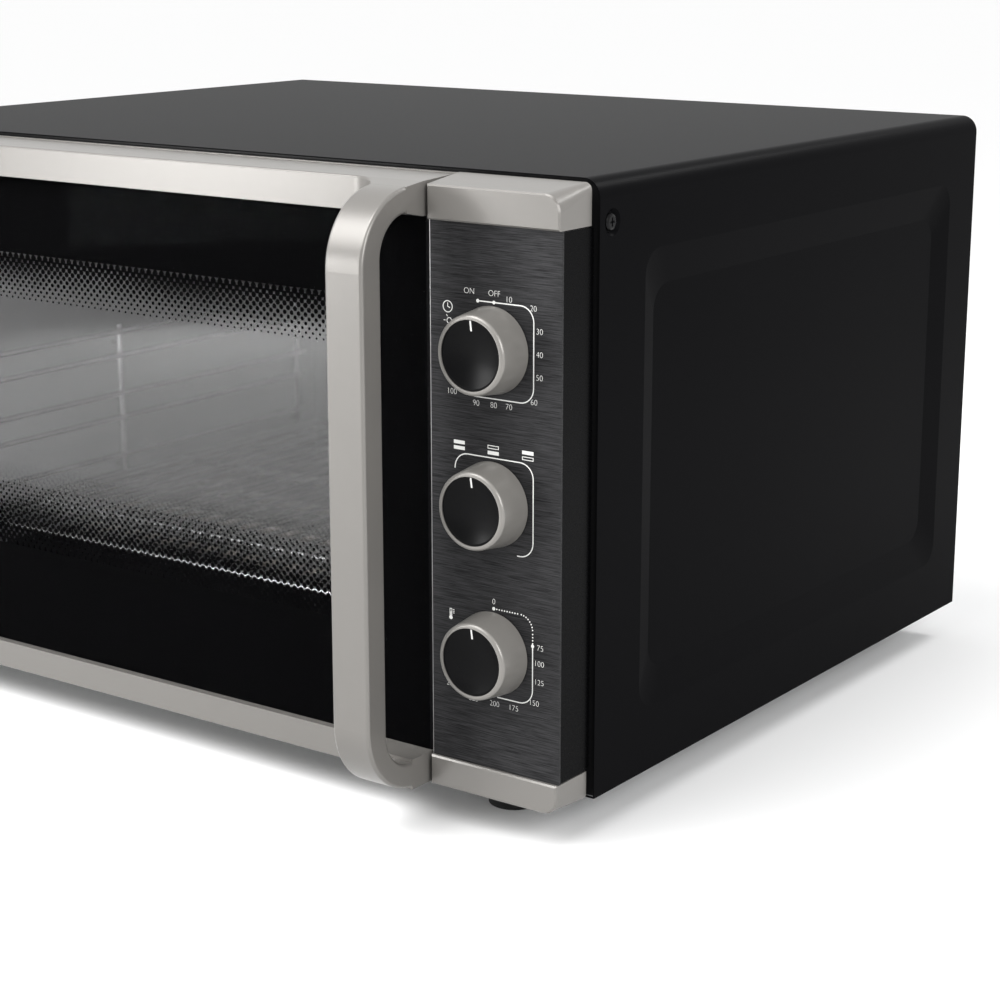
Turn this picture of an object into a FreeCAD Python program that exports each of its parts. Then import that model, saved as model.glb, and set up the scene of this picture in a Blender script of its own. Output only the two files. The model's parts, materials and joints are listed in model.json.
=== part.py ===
"""Countertop electric oven with a left-hinged door and three control knobs.

Millimetres, +Z up, -Y to the front. The origin is the middle of the footprint, on the counter.
"""
import FreeCAD, Part
import math
import os
import Sketcher

Vector = FreeCAD.Vector

SIZES = {
    # wrap-over casing of one bent sheet
    "case_width": 580.0,
    "case_depth": 440.0,
    "case_height": 326.0,
    "foot_height": 22.0,
    "case_sheet": 0.6,
    "case_corner": 10.0,
    "case_return": 15.0,
    "rear_flange": 12.0,
    # pressed panel in each side of the casing
    "press_front": 43.0,
    "press_rear": 35.0,
    "press_low": 36.0,
    "press_high": 40.0,
    "press_slope": 20.0,
    "press_slope_front": 12.0,
    "press_depth": 2.5,
    "press_corner": 14.0,
    # screw dimple near the front top corner of each side
    "dimple_set": 11.5,
    "dimple_drop": 22.5,
    "dimple_radius": 7.0,
    "dimple_floor": 5.2,
    "dimple_depth": 2.2,
    # fits
    "sheet_fit": 0.2,
    "seat_fit": 0.3,
    "shaft_fit": 0.05,
    "press_fit": 0.02,
    # screws
    "screw_head": 4.4,
    "screw_head_height": 2.0,
    "screw_shank": 1.9,
    "screw_length": 9.0,
    # rear panel, bottom plate and the posts that keep the oven off the wall
    "rear_sheet": 0.6,
    "plate_sheet": 0.6,
    "plate_upstand": 14.0,
    "rear_screw_inset": 28.0,
    "spacer_depth": 10.0,
    "spacer_radius": 8.0,
    "spacer_wall": 2.0,
    "spacer_inset": 70.0,
    "spacer_drop": 120.0,
    "slot_length": 34.0,
    "slot_width": 4.0,
    "slot_corner": 1.6,
    "slot_pitch": 10.0,
    "rear_slot_rows": 9,
    "rear_slot_top": 62.0,
    "floor_slot_rows": 14,
    "floor_slot_start": 120.0,
    # front frame, the pan behind door and panel
    "frame_setback": 1.0,
    "frame_sheet": 0.8,
    "frame_flange": 15.0,
    # cavity
    "cavity_left_inset": 50.0,
    "cavity_right_inset": 33.5,
    "cavity_low": 32.0,
    "cavity_high": 34.0,
    "rear_room": 37.0,
    "cavity_corner": 8.0,
    "liner_sheet": 0.5,
    "liner_flange": 10.0,
    "blanket": 12.0,
    "blanket_start": 30.0,
    "partition_offset": 17.0,
    "partition_flange": 11.0,
    # seal round the cavity mouth
    "seal_gap": 2.0,
    "seal_width": 7.0,
    "seal_lip": 2.2,
    "seal_base": 2.5,
    # door
    "edge_margin": 3.0,
    "door_gap": 2.0,
    "door_rear": 5.5,
    "door_drop": 0.5,
    "door_corner": 6.0,
    "rail_front": 31.0,
    "rail_crease": 4.0,
    "rail_rear_drop": 2.6,
    "rail_high": 21.7,
    "rail_low": 16.4,
    "rail_wall": 2.4,
    "rail_edge": 1.2,
    "glass_front": 30.0,
    "glass_thick": 4.0,
    "pan_wall": 1.0,
    "window_left": 44.0,
    "window_right": 42.0,
    "window_low": 62.0,
    "window_high": 58.0,
    "window_corner": 10.0,
    "pane_thick": 4.0,
    "pane_lap": 12.0,
    "retainer_width": 9.0,
    "retainer_sheet": 0.8,
    "retainer_lap": 7.0,
    # flare of the rails and handle strap
    "handle_reach": 81.0,
    "handle_width": 24.0,
    "handle_thick": 15.5,
    "handle_seam": 44.5,
    "handle_outer": 40.0,
    "handle_inner": 22.0,
    "handle_slope": 0.1,
    "handle_edge": 1.8,
    "boss_high": 5.7,
    "boss_low": 1.0,
    "boss_thick": 13.3,
    "flare_run": 22.5,
    "flare_lead": 7.4,
    "flare_radius": 23.0,
    # hinge
    "hinge_inset": 6.0,
    "hinge_set": 12.0,
    "hinge_low": 40.0,
    "hinge_high": 45.0,
    "pin_radius": 2.5,
    "pin_length": 14.0,
    "bush_wall": 1.5,
    "bush_length": 10.0,
    "arm_thick": 2.5,
    "arm_radius": 5.0,
    "arm_clearance": 1.0,
    "arm_slot_front": 18.5,
    "arm_slot_right": 12.5,
    "bracket_width": 20.0,
    "bracket_height": 30.0,
    "bracket_thick": 1.5,
    # magnetic catch
    "catch_offset": 12.0,
    "catch_width": 14.0,
    "catch_height": 40.0,
    "strike_thick": 1.0,
    # control panel
    "panel_width": 81.5,
    "panel_low": 15.8,
    "panel_high": 23.1,
    "housing_front": 27.0,
    "housing_rear": 3.0,
    "housing_wall": 2.2,
    "housing_lip": 1.3,
    "housing_edge": 1.2,
    "plate_thick": 1.5,
    "post_radius": 4.0,
    "post_inset": 9.0,
    "pilot_radius": 1.4,
    "cap_front": 31.0,
    "cap_crease": 5.2,
    "cap_rear_drop": 1.7,
    "cap_drop": 0.8,
    "cap_front_corner": 9.0,
    "cap_rear_corner": 4.0,
    "cap_wall": 2.2,
    "cap_edge": 0.9,
    "strip_front": 4.0,
    "strip_thick": 2.3,
    "strip_drop": 2.1,
    "strip_height": 12.0,
    "strip_foot": 2.0,
    # knobs and the units that they turn
    "knob_inset": 45.2,
    "knob_lift": 0.45,
    "knob_pitch": 80.0,
    "knob_base": 22.5,
    "knob_rim": 20.4,
    "knob_height": 19.3,
    "knob_gap": 0.6,
    "knob_wall": 2.1,
    "knob_rim_round": 2.0,
    "disc_radius": 18.1,
    "disc_sink": 0.7,
    "disc_thick": 3.0,
    "disc_fit": 0.05,
    "dish_depth": 1.8,
    "dish_rim": 1.2,
    "knob_web": 2.0,
    "hub_radius": 5.5,
    "hub_start": 2.0,
    "shaft_radius": 3.0,
    "shaft_flat": 1.6,
    "shaft_inside": 18.0,
    "shaft_hole": 4.5,
    "bush_radius": 4.9,
    "bush_hole": 5.2,
    "boss_bore": 6.0,
    "boss_wall": 2.0,
    "bush_front": 9.0,
    "unit_plate": 1.5,
    "unit_half": 23.0,
    "timer_radius": 21.0,
    "timer_depth": 30.0,
    "switch_half": 15.0,
    "switch_depth": 26.0,
    "thermostat_half": 17.0,
    "thermostat_depth": 24.0,
    "tab_width": 6.3,
    "tab_thick": 0.8,
    "tab_length": 8.0,
    "tab_pitch": 12.0,
    # heating elements
    "tube_radius": 3.25,
    "tube_bend": 20.0,
    "run_pitch": 60.0,
    "run_first": 110.0,
    "run_left_inset": 26.0,
    "run_right_inset": 34.0,
    "upper_drop": 14.0,
    "lower_rise": 18.0,
    "terminal_radius": 6.0,
    "terminal_flange": 9.0,
    "terminal_length": 12.5,
    "terminal_flange_thick": 2.0,
    "tube_fit": 0.3,
    # rack, its guides and the drip tray
    "guide_post_inset": 5.7,
    "guide_rail_inset": 9.5,
    "guide_post_radius": 2.2,
    "guide_rail_radius": 2.0,
    "guide_peg_radius": 1.6,
    "guide_first": 31.7,
    "guide_pair": 17.0,
    "guide_pitch": 44.0,
    "guide_levels": 3,
    "guide_start": 12.0,
    "guide_end_inset": 28.0,
    "guide_middle": 184.0,
    "rack_side_inset": 11.0,
    "rack_frame": 2.5,
    "rack_wire": 1.6,
    "rack_weld": 0.35,
    "rack_overrun": 1.0,
    "rack_start": 33.2,
    "rack_end_inset": 14.0,
    "rack_cross_first": 88.0,
    "rack_cross_pitch": 147.0,
    "rack_corner": 14.0,
    "rack_wires": 22,
    "tray_inset": 5.0,
    "tray_height": 8.0,
    "tray_sheet": 0.6,
    "tray_rim": 6.0,
    "tray_corner": 12.0,
    # lamp and thermostat probe in the right wall
    "lamp_set": 320.0,
    "lamp_drop": 62.0,
    "lamp_radius": 18.0,
    "lamp_neck": 14.0,
    "lamp_depth": 9.0,
    "lamp_wall": 2.0,
    "holder_radius": 17.0,
    "holder_depth": 14.0,
    "holder_wall": 1.5,
    "bulb_radius": 6.5,
    "bulb_base": 4.0,
    "bulb_length": 17.0,
    "probe_inset": 5.0,
    "probe_drop": 30.0,
    "probe_radius": 2.5,
    "probe_start": 20.0,
    "probe_length": 90.0,
    "capillary": 1.0,
    "capillary_bend": 12.0,
    "capillary_inset": 18.0,
    # feet
    "foot_radius": 16.2,
    "foot_tip": 14.0,
    "foot_inset": 64.2,
    "foot_set": 17.7,
    "foot_back": 30.0,
    "foot_wall": 3.0,
    "foot_recess": 12.0,
    "foot_screw_over": 1.4,
    # cord gland and terminal block
    "gland_inset": 45.0,
    "gland_rise": 40.0,
    "gland_radius": 8.0,
    "gland_flange": 11.0,
    "gland_flange_thick": 3.0,
    "gland_inside": 9.0,
    "gland_bore": 3.8,
    "block_length": 46.0,
    "block_width": 20.0,
    "block_height": 16.0,
    "block_ways": 3,
    "block_pitch": 14.0,
    "block_well": 3.2,
    "block_set": 75.0,
}


class Size:
    """A length that keeps its number together with the expression that it comes from."""

    def __init__(self, value, text):
        self.value = value
        self.text = text

    def join(self, other, sign, swap=False):
        """Combine with another size or number, in either order."""
        other = as_size(other)
        first, second = (other, self) if swap else (self, other)
        results = {
            "+": lambda: first.value + second.value,
            "-": lambda: first.value - second.value,
            "*": lambda: first.value * second.value,
            "/": lambda: first.value / second.value,
        }
        return Size(results[sign](), f"({first.text} {sign} {second.text})")

    def __add__(self, other):
        return self.join(other, "+")

    def __radd__(self, other):
        return self.join(other, "+", True)

    def __sub__(self, other):
        return self.join(other, "-")

    def __rsub__(self, other):
        return self.join(other, "-", True)

    def __mul__(self, other):
        return self.join(other, "*")

    def __rmul__(self, other):
        return self.join(other, "*", True)

    def __truediv__(self, other):
        return self.join(other, "/")

    def __neg__(self):
        return self.join(0, "-", True)


def as_size(number):
    """Give a plain number the same form as a named size."""
    if isinstance(number, Size):
        return number
    return Size(float(number), repr(float(number)))


class Dimensions:
    """The named driving dimensions, each bound to its spreadsheet cell."""


def fill_sheet(doc):
    """Put every driving dimension in a spreadsheet cell and return them by name."""
    sheet = doc.addObject("Spreadsheet::Sheet", "dims")
    named = Dimensions()
    for row, (name, value) in enumerate(SIZES.items(), start=1):
        sheet.set(f"A{row}", str(value))
        sheet.setAlias(f"A{row}", name)
        setattr(named, name, Size(value, f"dims.{name}"))
    return named


doc = FreeCAD.newDocument("countertop_oven")
d = fill_sheet(doc)
doc.recompute()
nodes = []

# main planes of the casing
right = d.case_width / 2
left = -right
front = -(d.case_depth + d.spacer_depth - d.handle_reach) / 2
back = front + d.case_depth
low = as_size(d.foot_height)
high = low + d.case_height

# inside of the casing, where sheets fit
inner_right = right - d.case_sheet - d.sheet_fit
inner_left = -inner_right
inner_high = high - d.case_sheet - d.sheet_fit
inner_corner = d.case_corner - d.case_sheet - d.sheet_fit
plate_top = low + d.case_sheet + d.plate_sheet
rear_face = back - d.case_sheet
rear_inside = rear_face - d.rear_sheet

# front frame
frame_face = front + d.frame_setback
frame_back = frame_face + d.frame_sheet

# door and control panel across the front
door_left = left + d.edge_margin
panel_right = right - d.edge_margin
panel_left = panel_right - d.panel_width
door_right = panel_left - d.door_gap
door_back = front - d.door_rear
door_low = low - d.door_drop
glass_face = front - d.glass_front
glass_back = glass_face + d.glass_thick
rail_face = front - d.rail_front
rail_back = rail_face + d.rail_wall
upper_rail_low = high - d.rail_high
lower_rail_high = low + d.rail_low
handle_face = front - d.handle_reach
handle_seam = front - d.handle_seam
handle_left = door_right - d.handle_width
handle_middle = door_right - d.handle_width / 2

# hinge axis
hinge_x = door_left + d.hinge_inset
hinge_y = front - d.hinge_set
lower_arm = low + d.hinge_low
upper_arm = high - d.hinge_high

# cavity
cavity_left = left + d.cavity_left_inset
cavity_right = panel_left - d.cavity_right_inset
cavity_low = low + d.cavity_low
cavity_high = high - d.cavity_high
cavity_front = frame_back
cavity_back = rear_inside - d.rear_room
liner_right = cavity_right + d.liner_sheet

# control panel
panel_low = low + d.panel_low
panel_high = high - d.panel_high
housing_face = front - d.housing_front
housing_back = front - d.housing_rear
plate_face = housing_face - d.plate_thick
knob_x = right - d.knob_inset
knob_middle = (panel_low + panel_high) / 2 + d.knob_lift
knob_heights = {
    "timer": knob_middle + d.knob_pitch,
    "mode": knob_middle,
    "thermostat": knob_middle - d.knob_pitch,
}


def number(size):
    """The plain value of a size or number."""
    return as_size(size).value


def root(size):
    """The square root of a size."""
    return Size(math.sqrt(size.value), f"sqrt({size.text})")


def bind(thing, field, size):
    """Tie a property of an object to a size."""
    thing.setExpression(field, as_size(size).text)


def keep(thing, name):
    """Name an object as one finished piece of the oven."""
    thing.Label = name
    nodes.append(thing)
    return thing


def circle(u, v, radius):
    """A round outline."""
    return ("circle", u, v, radius)


def rectangle(u0, u1, v0, v1, radius=None):
    """A rectangular outline, with rounded corners when a radius is given."""
    corners = [(u0, v0), (u1, v0), (u1, v1), (u0, v1)]
    if radius is None:
        return corners
    return [(u, v, radius) for u, v in corners]


def pin_point(sketch, index, end, u, v):
    """Hold one point of a sketch at u, v."""
    for kind, size in (("DistanceX", u), ("DistanceY", v)):
        limit = Sketcher.Constraint(kind, -1, 1, index, end, number(size))
        place = sketch.addConstraint(limit)
        bind(sketch, f"Constraints[{place}]", size)


def toward(start, end):
    """Unit direction from one point to another."""
    return (end - start).normalize()


def round_corner(sketch, corner, before, after, ends, radius):
    """Join two lines of a sketch by a tangent arc about their fixed corner."""
    entry, leave = ends
    into, out = toward(corner, entry), toward(corner, leave)
    half = into.getAngle(out) / 2
    centre = corner + (into + out).normalize() * (number(radius) / math.sin(half))
    middle = centre + toward(centre, corner) * number(radius)
    arc = sketch.addGeometry(Part.Arc(entry, middle, leave), False)
    first = 1 if sketch.getPoint(arc, 1).isEqual(entry, 1e-6) else 2
    sketch.addConstraint(Sketcher.Constraint("Tangent", before, 2, arc, first))
    sketch.addConstraint(Sketcher.Constraint("Tangent", after, 1, arc, 3 - first))
    place = sketch.addConstraint(Sketcher.Constraint("Radius", arc, number(radius)))
    bind(sketch, f"Constraints[{place}]", radius)
    point = sketch.addGeometry(Part.Point(corner), True)
    sketch.addConstraint(Sketcher.Constraint("PointOnObject", point, 1, before))
    sketch.addConstraint(Sketcher.Constraint("PointOnObject", point, 1, after))
    return point


def draw_polygon(sketch, corners):
    """Draw straight lines through corners (u, v) or rounded corners (u, v, radius)."""
    count = len(corners)
    points = [Vector(number(c[0]), number(c[1]), 0) for c in corners]
    ends = []
    for i, corner in enumerate(corners):
        if len(corner) == 2:
            ends.append((points[i], points[i]))
            continue
        into = toward(points[i], points[i - 1])
        out = toward(points[i], points[(i + 1) % count])
        reach = number(corner[2]) / math.tan(into.getAngle(out) / 2)
        ends.append((points[i] + into * reach, points[i] + out * reach))
    lines = []
    for i in range(count):
        line = Part.LineSegment(ends[i][1], ends[(i + 1) % count][0])
        lines.append(sketch.addGeometry(line, False))
    for i, corner in enumerate(corners):
        if len(corner) == 3:
            index = round_corner(sketch, points[i], lines[i - 1], lines[i], ends[i], corner[2])
            pin_point(sketch, index, 1, corner[0], corner[1])
            continue
        joint = Sketcher.Constraint("Coincident", lines[i - 1], 2, lines[i], 1)
        sketch.addConstraint(joint)
        pin_point(sketch, lines[i], 1, corner[0], corner[1])


def draw_circle(sketch, u, v, radius):
    """Draw a circle of a sized radius about a sized centre."""
    ring = Part.Circle(Vector(number(u), number(v), 0), Vector(0, 0, 1), number(radius))
    index = sketch.addGeometry(ring, False)
    place = sketch.addConstraint(Sketcher.Constraint("Radius", index, number(radius)))
    bind(sketch, f"Constraints[{place}]", radius)
    pin_point(sketch, index, 3, u, v)


def new_body(name):
    """Start a piece."""
    return doc.addObject("PartDesign::Body", name + "_body")


def new_sketch(body, plane, place, *outlines):
    """Draw outlines on a plane across the X (YZ), Y (XZ) or Z (XY) axis, at the given place."""
    sketch = body.newObject("Sketcher::SketchObject", body.Name + "_outline")
    role = plane + "_Plane"
    base = [item for item in body.Origin.OriginFeatures if item.Role == role][0]
    sketch.AttachmentSupport = [(base, "")]
    sketch.MapMode = "FlatFace"
    along = -as_size(place) if plane == "XZ" else place
    bind(sketch, "AttachmentOffset.Base.z", along)
    for outline in outlines:
        if outline[0] == "circle":
            draw_circle(sketch, *outline[1:])
        else:
            draw_polygon(sketch, outline)
    return sketch


def prism(body, plane, start, end, *outlines):
    """Add material with the given outlines from start to end, across the plane."""
    pad = body.newObject("PartDesign::Pad", body.Name + "_pad")
    pad.Profile = new_sketch(body, plane, start, *outlines)
    pad.Reversed = plane == "XZ"
    bind(pad, "Length", as_size(end) - start)
    return pad


def pocket(body, plane, start, end, *outlines):
    """Take material away inside the given outlines from start to end, across the plane."""
    hollow = body.newObject("PartDesign::Pocket", body.Name + "_pocket")
    hollow.Profile = new_sketch(body, plane, start, *outlines)
    hollow.Reversed = plane != "XZ"
    bind(hollow, "Length", as_size(end) - start)
    return hollow


def turn(body, plane, *outlines):
    """Spin an outline about the second axis of its plane."""
    solid = body.newObject("PartDesign::Revolution", body.Name + "_turned")
    sketch = new_sketch(body, plane, 0, *outlines)
    solid.Profile = sketch
    solid.ReferenceAxis = (sketch, ["V_Axis"])
    solid.Angle = 360
    return solid


def repeat(body, feature, axis, span, count):
    """Repeat a feature of a body along one of its own axes, over a span."""
    pattern = body.newObject("PartDesign::LinearPattern", body.Name + "_row")
    pattern.Originals = [feature]
    role = axis + "_Axis"
    line = [item for item in body.Origin.OriginFeatures if item.Role == role][0]
    pattern.Direction = (line, [""])
    bind(pattern, "Length", span)
    bind(pattern, "Occurrences", count)
    body.Tip = pattern
    return pattern


def loft(body, kind, plane, near, near_outline, far, far_outline):
    """Blend between two outlines on parallel planes."""
    blend = body.newObject(f"PartDesign::{kind}Loft", body.Name + "_loft")
    blend.Profile = new_sketch(body, plane, near, near_outline)
    blend.Sections = [new_sketch(body, plane, far, far_outline)]
    return blend


def soften(body, feature, radius, chosen):
    """Round the edges of a feature that the test chooses."""
    doc.recompute()
    names = []
    for index, edge in enumerate(feature.Shape.Edges, start=1):
        if chosen(edge.BoundBox):
            names.append(f"Edge{index}")
    fillet = body.newObject("PartDesign::Fillet", body.Name + "_edges")
    fillet.Base = (feature, names)
    bind(fillet, "Radius", radius)
    return fillet


def near(value, size):
    """Whether a coordinate lies on a plane."""
    return abs(value - number(size)) < 1e-3


def move(thing, x, y, z):
    """Place an object by sizes."""
    for axis, size in zip("xyz", (x, y, z)):
        bind(thing, f"Placement.Base.{axis}", size)
    return thing


def box(x0, x1, y0, y1, z0, z1):
    """A block between six planes."""
    block = doc.addObject("Part::Box", "block")
    bind(block, "Length", as_size(x1) - x0)
    bind(block, "Width", as_size(y1) - y0)
    bind(block, "Height", as_size(z1) - z0)
    return move(block, x0, y0, z0)


def rod(axis, start, end, first, second, radius):
    """A round bar along X, Y or Z, at the two other coordinates in their order."""
    bar = doc.addObject("Part::Cylinder", "bar")
    bind(bar, "Radius", radius)
    bind(bar, "Height", as_size(end) - start)
    turns = {"X": (Vector(0, 1, 0), 90), "Y": (Vector(1, 0, 0), -90), "Z": (Vector(0, 0, 1), 0)}
    bar.Placement = FreeCAD.Placement(Vector(), FreeCAD.Rotation(*turns[axis]))
    places = {
        "X": (start, first, second),
        "Y": (first, start, second),
        "Z": (first, second, start),
    }
    return move(bar, *places[axis])


def fuse(*shapes, refine=True):
    """Join overlapping or touching shapes into one solid."""
    joined = doc.addObject("Part::MultiFuse", "joined")
    joined.Shapes = list(shapes)
    joined.Refine = refine
    return joined


def cut(base, *tools):
    """Take one or more shapes away from a base."""
    result = doc.addObject("Part::Cut", "cut")
    result.Base = base
    result.Tool = tools[0] if len(tools) == 1 else fuse(*tools)
    return result


def bend(plane, place, corner, radius, into, out, wire):
    """A quarter turn of round wire between two runs that leave a corner at right angles."""
    start = math.atan2(-out[1], -out[0])
    if into[0] * out[1] - into[1] * out[0] > 0:
        start = math.atan2(-into[1], -into[0])
        into, out = out, into
    ring = doc.addObject("Part::Torus", "bend")
    bind(ring, "Radius1", radius)
    bind(ring, "Radius2", wire)
    ring.Angle3 = 90
    tilt = FreeCAD.Rotation(Vector(1, 0, 0), 90 if plane == "XZ" else 0)
    spin = FreeCAD.Rotation(Vector(0, 0, 1), math.degrees(start))
    ring.Placement = FreeCAD.Placement(Vector(), tilt * spin)
    u = corner[0] + radius * (into[0] + out[0])
    v = corner[1] + radius * (into[1] + out[1])
    return move(ring, u, place, v) if plane == "XZ" else move(ring, u, v, place)


def direction(start, end):
    """Signs of the step from one corner to the next along one axis."""
    step = [number(end[i]) - number(start[i]) for i in (0, 1)]
    return tuple(0 if abs(size) < 1e-6 else math.copysign(1, size) for size in step)


def wire_run(plane, place, start, end, wire):
    """A straight wire between two points of a plane, along one of its axes."""
    step = direction(start, end)
    first, last = (start, end) if sum(step) > 0 else (end, start)
    if plane == "XY":
        if step[0]:
            return rod("X", first[0], last[0], first[1], place, wire)
        return rod("Y", first[1], last[1], first[0], place, wire)
    if step[0]:
        return rod("X", first[0], last[0], place, first[1], wire)
    return rod("Z", first[1], last[1], first[0], place, wire)


def bent_wire(plane, place, corners, wire, closed=False):
    """A round wire through square corners (u, v, radius); an open one starts and ends plain."""
    count = len(corners)
    pieces = []
    ends = []
    for i, corner in enumerate(corners):
        if len(corner) == 2:
            ends.append((corner, corner))
            continue
        u, v, radius = corner
        into = direction(corner, corners[i - 1])
        out = direction(corner, corners[(i + 1) % count])
        entry = (u + radius * into[0], v + radius * into[1])
        leave = (u + radius * out[0], v + radius * out[1])
        ends.append((entry, leave))
        pieces.append(bend(plane, place, corner, radius, into, out, wire))
    for i in range(count if closed else count - 1):
        pieces.append(wire_run(plane, place, ends[i][1], ends[(i + 1) % count][0], wire))
    return pieces


def group(name, solids):
    """Keep separate like solids as one named piece."""
    bundle = doc.addObject("Part::Compound", name)
    bundle.Links = list(solids)
    return keep(bundle, name)


def screw(axis, seat, facing, first, second, length=d.screw_length):
    """A screw whose head sits on a seat plane, facing plus or minus along the axis."""
    if facing > 0:
        head = rod(axis, seat, seat + d.screw_head_height, first, second, d.screw_head)
        shank = rod(axis, seat - length, seat, first, second, d.screw_shank)
    else:
        head = rod(axis, seat - d.screw_head_height, seat, first, second, d.screw_head)
        shank = rod(axis, seat, seat + length, first, second, d.screw_shank)
    return fuse(head, shank)


def side_mark(sign, inset):
    """A plane at an inset from the right (+1) or left (-1) side of the casing."""
    return (right - inset) * sign


def pressed(body, sign, outer, inner, depth):
    """Press a dent into one side of the casing, keeping the sheet's thickness."""
    sheet = side_mark(sign, d.case_sheet)
    loft(body, "Additive", "YZ", sheet, outer, side_mark(sign, d.case_sheet + depth), inner)
    loft(body, "Subtractive", "YZ", side_mark(sign, 0), outer, side_mark(sign, depth), inner)


def outer_casing():
    """The casing: a bent sheet over top and sides with pressed side panels."""
    body = new_body("outer_casing")
    sheet, corner = d.case_sheet, d.case_corner
    inside = corner - sheet
    profile = [
        (left + d.case_return, low),
        (left + d.case_return, low + sheet),
        (left + sheet, low + sheet),
        (left + sheet, high - sheet, inside),
        (right - sheet, high - sheet, inside),
        (right - sheet, low + sheet),
        (right - d.case_return, low + sheet),
        (right - d.case_return, low),
        (right, low),
        (right, high, corner),
        (left, high, corner),
        (left, low),
    ]
    prism(body, "XZ", front, back, profile)
    lip = d.rear_flange
    flange = [
        (left, low),
        (left, high, corner),
        (right, high, corner),
        (right, low),
        (right - lip, low),
        (right - lip, high - lip),
        (left + lip, high - lip),
        (left + lip, low),
    ]
    prism(body, "XZ", back - sheet, back, flange)
    y0, y1 = front + d.press_front, back - d.press_rear
    z0, z1 = low + d.press_low, high - d.press_high
    outer = rectangle(y0, y1, z0, z1, d.press_corner)
    slope = d.press_slope
    inner = rectangle(y0 + d.press_slope_front, y1 - slope, z0 + slope, z1 - slope, d.press_corner)
    y, z = front + d.dimple_set, high - d.dimple_drop
    for sign in (1, -1):
        pressed(body, sign, outer, inner, d.press_depth)
        rim, floor = circle(y, z, d.dimple_radius), circle(y, z, d.dimple_floor)
        pressed(body, sign, rim, floor, d.dimple_depth)
    hole = circle(y, z, d.screw_shank + d.sheet_fit)
    depth = d.dimple_depth + d.case_sheet
    pocket(body, "YZ", right - depth, right, hole)
    pocket(body, "YZ", left, left + depth, hole)
    x = right - lip / 2
    heights = rear_screw_heights()
    holes = [circle(x * sign, z, d.screw_shank + d.sheet_fit) for sign in (1, -1) for z in heights]
    pocket(body, "XZ", back - sheet, back, *holes)
    keep(body, "outer_casing")


def rear_screw_heights():
    """Heights of the screws down each side of the rear flange."""
    return [low + d.rear_screw_inset, (low + high) / 2, high - d.rear_screw_inset]


def rear_panel():
    """The rear panel, inside the casing's flange, with vent slots behind the controls."""
    body = new_body("rear_panel")
    prism(body, "XZ", rear_inside, rear_face, frame_outline(0))
    x0 = knob_x - d.slot_length / 2
    z0 = high - d.rear_slot_top
    slot = rectangle(x0, x0 + d.slot_length, z0, z0 + d.slot_width, d.slot_corner)
    first = pocket(body, "XZ", rear_inside, rear_face, slot)
    step = d.slot_pitch * (d.rear_slot_rows - 1)
    row = repeat(body, first, "Z", step, d.rear_slot_rows)
    row.Reversed = True
    gland = circle(right - d.gland_inset, low + d.gland_rise, d.gland_radius + d.sheet_fit)
    x = right - d.rear_flange / 2
    reach = d.screw_shank + d.sheet_fit
    holes = [circle(x * sign, z, reach) for sign in (1, -1) for z in rear_screw_heights()]
    pocket(body, "XZ", rear_inside, rear_face, gland, *holes)
    keep(body, "rear_panel")


def bottom_plate():
    """The bottom plate on the casing's returns, with an upstand that meets the rear panel."""
    body = new_body("bottom_plate")
    z0 = low + d.case_sheet
    sheet = rectangle(inner_left, inner_right, frame_face, rear_inside)
    prism(body, "XY", z0, plate_top, sheet)
    upstand = rectangle(inner_left, inner_right, plate_top, plate_top + d.plate_upstand)
    prism(body, "XZ", rear_inside - d.plate_sheet, rear_inside, upstand)
    x0 = knob_x - d.slot_length / 2
    y0 = front + d.floor_slot_start
    slot = rectangle(x0, x0 + d.slot_length, y0, y0 + d.slot_width, d.slot_corner)
    first = pocket(body, "XY", z0, plate_top, slot)
    step = d.slot_pitch * (d.floor_slot_rows - 1)
    repeat(body, first, "Y", step, d.floor_slot_rows)
    holes = [circle(x, y, d.screw_shank + d.sheet_fit) for x, y in foot_places().values()]
    pocket(body, "XY", z0, plate_top, *holes)
    keep(body, "bottom_plate")


def front_frame():
    """The steel pan behind door and panel that carries cavity, hinge and controls."""
    body = new_body("front_frame")
    prism(body, "XZ", frame_face, frame_back, frame_outline(0))
    sheet, step = d.frame_sheet, d.dimple_depth
    end = frame_back + d.frame_flange
    prism(body, "XZ", frame_back, end, frame_outline(step))
    pocket(body, "XZ", frame_back, end, frame_outline(step + sheet))
    mouth = rectangle(cavity_left, cavity_right, cavity_low, cavity_high, d.cavity_corner)
    holes = [circle(knob_x, z, d.bush_hole) for z in knob_heights.values()]
    pocket(body, "XZ", frame_face, frame_back, mouth, *holes)
    hole = circle(front + d.dimple_set, high - d.dimple_drop, d.screw_shank + d.sheet_fit)
    side = inner_right - step
    pocket(body, "YZ", -side, -side + sheet, hole)
    pocket(body, "YZ", side - sheet, side, hole)
    keep(body, "front_frame")


def frame_outline(inset):
    """The inside outline of the casing, moved in by an inset, with its round upper corners."""
    corner = inner_corner - inset
    return [
        (inner_left + inset, plate_top + inset),
        (inner_right - inset, plate_top + inset),
        (inner_right - inset, inner_high - inset, corner),
        (inner_left + inset, inner_high - inset, corner),
    ]


def element_runs():
    """Depths of the four runs of each heating element."""
    return [cavity_front + d.run_first + d.run_pitch * i for i in range(4)]


def element_heights():
    """Heights of the upper and the lower heating element."""
    return {"upper": cavity_high - d.upper_drop, "lower": cavity_low + d.lower_rise}


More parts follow.
